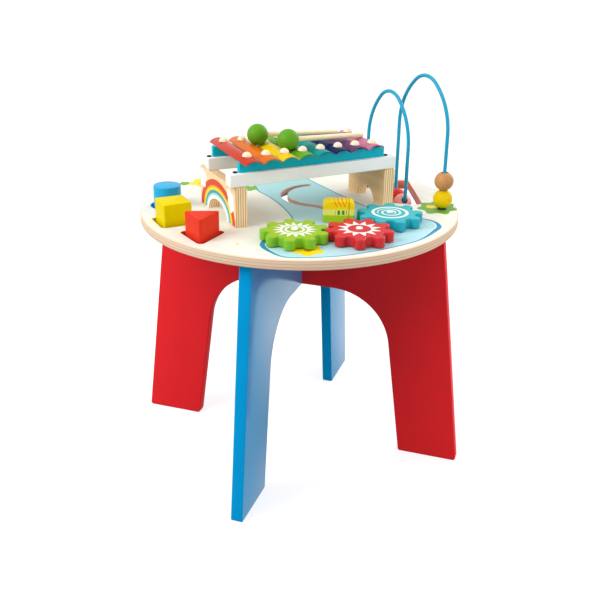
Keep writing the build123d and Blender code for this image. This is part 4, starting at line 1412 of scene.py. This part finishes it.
class PLAYTABLE_OT_gears(bpy.types.Operator):
    """Meshing gears with printed ornaments, their axles and washers"""

    bl_idname = "playtable.gears"
    bl_label = "Gears"

    def execute(self, context):
        look = context.scene.playtable_toys
        red, red_phase, spacing, mesh_turn = (129.0, -124.0), 86.6, 90, 200
        spots = {"red": (red, red_phase)}
        for name, heading in (("green", 202.8), ("turquoise", 75.2)):
            angle = math.radians(heading)
            centre = (red[0] + spacing * math.cos(angle), red[1] + spacing * math.sin(angle))
            spots[name] = (centre, 2 * heading - red_phase + mesh_turn)
        ornaments = {"red": star_ring, "green": sun_ring, "turquoise": spiral_ring}
        base, top = BOARD_TOP + 1.4, BOARD_TOP + 15.4
        for name, (centre, phase) in spots.items():
            outline = spun(gear_outline(), centre, phase)
            bore = circle(centre, 3.3, 32)
            node = "gear_" + name
            mesh = plate(node, None, outline, [bore], base, top, 1.2, 1, 1.7, 0.6)

            def drawn(points):
                away = ornaments[name](points[:, :2] - np.array(centre))
                return np.where(points[:, 2] > top - 0.2, away, 9.0)

            field(mesh, "ornament", drawn)
            finish = gear_finish(name, getattr(look, node), look.ornament)
            # The teeth get a darker side paint: partly two-tone paint, partly painted shade on the
            # upright walls.
            side_paint_and_shade = getattr(look, node + "_side")
            side = painted(name.capitalize() + " gear side", side_paint_and_shade, 0.26, 0.4, shine=0.3)
            label = "Gear" + name.capitalize()
            piece(label, mesh, [finish, side], name + "_gear", [node])
        head = [(0, 1.3), (1.4, 1.3), (2.0, 1.7), (2.8, 1.8)]
        head += [(4.0 + math.sin(a), 0.8 + math.cos(a)) for a in np.linspace(0, QUARTER_TURN, 6)]
        head += [(5.0, 0.0), (3.2, 0.0), (3.2, -27.6), (0, -27.6)]
        points = [((*centre, top + 0.2), UP) for centre, phase in spots.values()]
        cream = moulded("Axle heads", look.axle, 0.42)
        mesh = scattered("GearAxles", lathed("axle_form", head, 40), points, cream)
        piece("GearAxles", mesh, [], "table", ["gear_axles"])
        redress("gear_washers", moulded("Washers", look.washer, 0.5))
        return {"FINISHED"}


def slider_finish(look):
    """Paint in bands up the block, with windows below and slanted stripes above."""
    skin = Finish("Slider paint")
    tree = skin.tree
    height, along = skin.stored("height"), skin.stored("along")
    film = skin.group("Paint film", Color=look.slider_body, Gloss=0.36, Grain=0.4)
    sill, eaves, above_all = 11, 20, 60

    def between(value, low, high):
        middle, half = (low + high) / 2, (high - low) / 2
        away = calc(tree, "ABSOLUTE", calc(tree, "SUBTRACT", value, middle))
        return calc(tree, "SUBTRACT", away, half)

    def repeat(value, pitch, width):
        part = calc(tree, "PINGPONG", value, pitch / 2)
        return calc(tree, "SUBTRACT", part, width / 2)

    panes = calc(tree, "MAXIMUM", between(height, 12, 18.5), repeat(along, 6.4, 3.8))
    panes = calc(tree, "MAXIMUM", panes, between(along, -5, 12))
    slanted = calc(tree, "MULTIPLY_ADD", height, 0.6, along)
    stripes = calc(tree, "MAXIMUM", between(height, 24, above_all), repeat(slanted, 6.0, 2.2))
    stripes = calc(tree, "MAXIMUM", stripes, between(along, -7, 12))
    colour = skin.overprint(
        film["Color"],
        (between(height, sill, eaves), look.slider_wall),
        (panes, look.slider_pane),
        (between(height, eaves, above_all), look.slider_roof),
        (stripes, look.slider_stripe),
        (between(along, 14.2, 15.4), look.slider_line),
    )
    return skin.done(colour, film["Roughness"], film["Height"], 0.15, 0.15)


class PLAYTABLE_OT_slider(bpy.types.Operator):
    """Block that slides in the curved slot, with its peg and screw"""

    bl_idname = "playtable.slider"
    bl_label = "Slider"

    def execute(self, context):
        look = context.scene.playtable_toys
        spot, heading = Vector((78.655, -54.415, BOARD_TOP + 0.2)), math.radians(18)
        way = Vector((math.cos(heading), math.sin(heading), 0))
        outline, half_width = oblong(23, 0, 32, [1, 1, 7, 7], 10), 11
        place = placed(spot, way, UP)
        mesh = plate("slider", place, outline, [], -half_width, half_width, 1.0, spacing=2.5)
        field(mesh, "height", lambda p: p[:, 2] - spot.z)
        field(mesh, "along", lambda p: (p - np.array(spot)) @ np.array(way))
        finish, nodes = slider_finish(look), ["slider_block"]
        piece("SliderBlock", mesh, [finish], "slider", nodes)
        redress("slider_peg", moulded("Peg", look.peg, 0.5))
        redress("slider_screw", bpy.data.materials["Screw steel"])
        return {"FINISHED"}


def wire_hump(start, end, spring, crown):
    """Points over a hump made of three tangent arcs."""
    level, half = (end - start).normalized(), (end - start).length / 2
    middle, rise = (start + end) / 2, crown - spring
    crown_radius = 0.62 * half
    side = (half**2 + rise**2 - 2 * rise * crown_radius) / (2 * (half - crown_radius))
    swing = math.degrees(math.atan2(rise - crown_radius, side - half))
    flat = np.concatenate(
        [
            arc((side - half, 0), side, 180, 180 - swing, 4.0),
            arc((0, rise - crown_radius), crown_radius, 180 - swing, swing, 4.0)[1:-1],
            arc((half - side, 0), side, swing, 0, 4.0),
        ]
    )
    return [middle + level * x + UP * (spring + y) for x, y in flat]


class PLAYTABLE_OT_wire(bpy.types.Operator):
    """Bent bead wire and the bushes at its ends"""

    bl_idname = "playtable.wire"
    bl_label = "Bead wire"

    def execute(self, context):
        look = context.scene.playtable_toys
        start, end = (Vector((*spot, 0)) for spot in WIRE_ENDS)
        front, rear, middle, level, half = dip_parts()
        path = [start + UP * BOARD_UNDERSIDE]
        path += wire_hump(start, front, *FIRST_HUMP)
        for angle in np.linspace(-math.pi / 2, math.pi / 2, 33):
            depth = DIP_SPRING - half * math.cos(angle)
            path.append(middle + level * half * math.sin(angle) + UP * depth)
        path += wire_hump(rear, end, *SECOND_HUMP)
        path.append(end + UP * BOARD_UNDERSIDE)
        curve = bpy.data.curves.new("wire_path", "CURVE")
        curve.dimensions = "3D"
        line = curve.splines.new("POLY")
        line.points.add(len(path) - 1)
        for point, spot in zip(line.points, path):
            point.co = (*(spot * MM), 1)
        coating = painted("Wire coating", look.wire, 0.3, 0.0, shine=0.25, bump=0.03)
        radius = DRAWN_WIRE_RADIUS * MM
        mesh = baked("BeadWire", curve, rod_tree(), Radius=radius, Sides=24, Finish=coating)
        piece("BeadWire", mesh, [], "table", ["bead_wire"], 50.0)
        bore, foot = 2.85, -15.0
        flange = [(bore, foot), (4.5, foot), (4.5, 0.0), (7.0, 0.0)]
        flange += [(6.0 + math.cos(a), 1.5 + math.sin(a)) for a in np.linspace(0, QUARTER_TURN, 6)]
        flange += [(3.2, 2.5), (bore, 2.2), (bore, foot)]
        spots = [((*spot, BOARD_TOP), UP) for spot in WIRE_ENDS]
        black = moulded("Bushes", look.bush, 0.45)
        mesh = scattered("WireBushes", lathed("bush_form", flange, 36), spots, black)
        piece("WireBushes", mesh, [], "table", ["wire_bushes"])
        return {"FINISHED"}


def dip_place(middle, level, radius, angle):
    """Centre and bore direction of a bead in the dip."""
    spot = middle + level * radius * math.sin(angle) - UP * radius * math.cos(angle)
    return spot, level * math.cos(angle) + UP * math.sin(angle)


class PLAYTABLE_OT_beads(bpy.types.Operator):
    """Round beads on the wire"""

    bl_idname = "playtable.beads"
    bl_label = "Beads"

    def execute(self, context):
        look = context.scene.playtable_toys
        radius, bore, soft = 14.7, 5.0, 0.06
        half, opening = math.sqrt(radius**2 - bore**2), 0.12
        turn = math.acos(half / radius) + soft
        profile = [(bore, -half + 0.9), (bore + opening, -half + 0.35)]
        for a in np.linspace(turn, math.pi - math.acos(half / radius) - soft, 30):
            profile.append((radius * math.sin(a), -radius * math.cos(a)))
        profile += [(bore + opening, half - 0.35), (bore, half - 0.9), (bore, -half + 0.9)]
        middle, level, dip = dip_parts()[2:]
        middle += UP * DIP_SPRING
        swing_radius = bore - 0.2 + math.sqrt((dip - WIRE_RADIUS) ** 2 - half**2)
        swing = math.asin((radius + 0.1) / swing_radius)
        foot = Vector((*WIRE_ENDS[1], BOARD_TOP + 2.7 + half))
        pale, dark = look.bead_natural, [c * 0.62 for c in look.bead_natural]
        finishes = {"natural": bare_wood("Natural bead wood", pale, dark, UPRIGHT_GRAIN, 1.0, 0.34)}
        for name, gloss, shine in (
            ("yellow", 0.34, 0.1), ("pink", 0.32, 0.15), ("red", 0.32, 0.15),
        ):
            label, colour = name.capitalize() + " bead paint", getattr(look, "bead_" + name)
            finishes[name] = painted(label, colour, gloss, 0.5, UPRIGHT_GRAIN, shine)
        for name, spot, axis in (
            ("yellow", foot, UP),
            ("natural", foot + UP * (2 * half + 0.2), UP),
            ("pink", *dip_place(middle, level, swing_radius, -swing)),
            ("red", *dip_place(middle, level, swing_radius, swing)),
        ):
            node = "bead_" + name
            mesh = lathed(node, profile, 56, standing(spot, axis))
            piece("Bead" + name.capitalize(), mesh, [finishes[name]], name + "_bead", [node])
        return {"FINISHED"}


def make_floor(look):
    """Wide pale floor; seen white with the table's shadow, and in reflections a glow with a painted
    shadow that is dim under the table.
    """
    mesh = bpy.data.meshes.new("floor")
    reach, open_light = 12.0, 0.73
    corners = [(-reach, -reach, 0), (reach, -reach, 0), (reach, reach, 0), (-reach, reach, 0)]
    mesh.from_pydata(corners, [], [(0, 1, 2, 3)])
    made = linked("Floor", mesh)
    skin = Finish("Floor paper")
    tree = skin.tree
    fine = noise(tree, skin.vector, (300.0, 300.0, 300.0), 2.0)
    skin.done(look.floor, 0.8, fine, 0.02, 0.0)
    shade = put(tree, "ShaderNodeBsdfDiffuse", {"Color": [look.shadow] * 3})
    strength = 1.0 - open_light * look.shadow * look.sky_light
    white = put(tree, "ShaderNodeEmission", {"Strength": strength})
    paper = put(tree, "ShaderNodeAddShader", {0: shade.outputs[0], 1: white.outputs[0]})
    # In reflections the floor is a glow, not a lit surface: a painted shadow, 0.3 bright under the
    # table's middle and full white 0.4 m away.
    away = put(tree, "ShaderNodeVectorMath", {0: skin.vector}, operation="LENGTH")
    painted_reflection_shadow = remap(tree, away.outputs["Value"], 0.0, 0.4, 0.3, 1.0)
    sheen = put(tree, "ShaderNodeEmission", {"Strength": painted_reflection_shadow})
    path = put(tree, "ShaderNodeLightPath").outputs
    both = skin.shader
    for ray, layer in (("Is Glossy Ray", sheen), ("Is Camera Ray", paper)):
        layers = {0: path[ray], 1: both.outputs[0], 2: layer.outputs[0]}
        both = put(tree, "ShaderNodeMixShader", layers)
    tree.links.new(both.outputs[0], skin.out.inputs["Surface"])
    mesh.materials.append(skin.material)


def make_sky(look, scene):
    """White surroundings, brighter overhead; the camera and reflections see plain white."""
    world = bpy.data.worlds.new("Studio")
    scene.world = world
    world.use_nodes = True
    tree = world.node_tree
    tree.nodes.clear()
    path = put(tree, "ShaderNodeLightPath").outputs
    seen = calc(tree, "MAXIMUM", path["Is Camera Ray"], path["Is Transmission Ray"])
    seen = calc(tree, "MAXIMUM", seen, path["Is Glossy Ray"])
    way = put(tree, "ShaderNodeTexCoord").outputs["Generated"]
    rise = put(tree, "ShaderNodeSeparateXYZ", {0: way}).outputs["Z"]
    dome = remap(tree, rise, 0.0, 1.0, 0.35 * look.sky_light, look.sky_light)
    strength = calc(tree, "MAXIMUM", dome, seen)
    sky = put(tree, "ShaderNodeBackground", {"Color": (1, 1, 1), "Strength": strength})
    put(tree, "ShaderNodeOutputWorld", {"Surface": sky.outputs[0]})


def make_lamp(name, spot, size, power):
    """Large soft lamp that points at the table."""
    data = bpy.data.lights.new(name, "AREA")
    data.energy = power
    data.size = size
    made = linked(name, data)
    made.location = spot
    aim = Vector((0, 0, 0.35)) - Vector(spot)
    made.rotation_euler = aim.to_track_quat("-Z", "Y").to_euler()


def make_camera(scene):
    """Camera at the photograph's angle; the focal length and shift are in pixels of it."""
    sensor, picture, focal, shift = 36.0, 600.0, 885.1, 1.64
    spot, target, roll = Vector((0.4168, -1.2577, 0.8162)), Vector((0, 0, 0.2428)), -0.705
    data = bpy.data.cameras.new("Camera")
    data.sensor_width = sensor
    data.lens = sensor * focal / picture
    data.shift_x = shift / picture
    data.clip_end = 50.0
    made = linked("Camera", data)
    back = (spot - target).normalized()
    right = UP.cross(back).normalized()
    above = back.cross(right)
    roll = math.radians(roll)
    x_way = right * math.cos(roll) - above * math.sin(roll)
    y_way = right * math.sin(roll) + above * math.cos(roll)
    turn = Matrix((x_way, y_way, back)).transposed().to_4x4()
    made.matrix_world = Matrix.Translation(spot) @ turn
    scene.camera = made


class PLAYTABLE_OT_stage(bpy.types.Operator):
    """Floor, light and camera"""

    bl_idname = "playtable.stage"
    bl_label = "Stage"

    def execute(self, context):
        look = context.scene.playtable_stage
        scene = context.scene
        scene.view_settings.view_transform = "Standard"
        make_floor(look)
        make_sky(look, scene)
        make_lamp("Key", (-1.7, -1.6, 1.9), 1.7, look.key_power)
        make_lamp("Fill", (2.2, -0.3, 0.9), 1.4, look.fill_power)
        make_lamp("Back", (1.0, 1.8, 1.5), 1.6, look.back_power)
        make_camera(scene)
        return {"FINISHED"}


class PLAYTABLE_PT_panel(bpy.types.Panel):
    """Lists the table's pieces in the sidebar"""

    bl_idname = "PLAYTABLE_PT_panel"
    bl_label = "Play table"
    bl_space_type = "VIEW_3D"
    bl_region_type = "UI"
    bl_category = "Play table"

    def draw(self, context):
        for operator in OPERATORS:
            self.layout.operator(operator.bl_idname)
        for name in SETTINGS:
            group = getattr(context.scene, name)
            for key in group.__annotations__:
                self.layout.prop(group, key)


SETTINGS = {
    "playtable_board": BoardSettings,
    "playtable_legs": LegSettings,
    "playtable_xylophone": XylophoneSettings,
    "playtable_toys": ToySettings,
    "playtable_stage": StageSettings,
}
OPERATORS = (
    PLAYTABLE_OT_board,
    PLAYTABLE_OT_legs,
    PLAYTABLE_OT_xylophone_frame,
    PLAYTABLE_OT_bars,
    PLAYTABLE_OT_mallets,
    PLAYTABLE_OT_blocks,
    PLAYTABLE_OT_gears,
    PLAYTABLE_OT_slider,
    PLAYTABLE_OT_wire,
    PLAYTABLE_OT_beads,
    PLAYTABLE_OT_stage,
)


def register():
    """Makes the settings, operators and panel known."""
    for group in SETTINGS.values():
        bpy.utils.register_class(group)
    for name, group in SETTINGS.items():
        setattr(bpy.types.Scene, name, bpy.props.PointerProperty(type=group))
    for operator in OPERATORS:
        bpy.utils.register_class(operator)
    bpy.utils.register_class(PLAYTABLE_PT_panel)


def unregister():
    """Takes the settings, operators and panel away again."""
    bpy.utils.unregister_class(PLAYTABLE_PT_panel)
    for operator in reversed(OPERATORS):
        bpy.utils.unregister_class(operator)
    for name, group in SETTINGS.items():
        delattr(bpy.types.Scene, name)
        bpy.utils.unregister_class(group)


def main():
    """Builds the table piece by piece."""
    register()
    for operator in OPERATORS:
        group, name = operator.bl_idname.split(".")
        getattr(getattr(bpy.ops, group), name)()


if __name__ == "__main__":
    main()
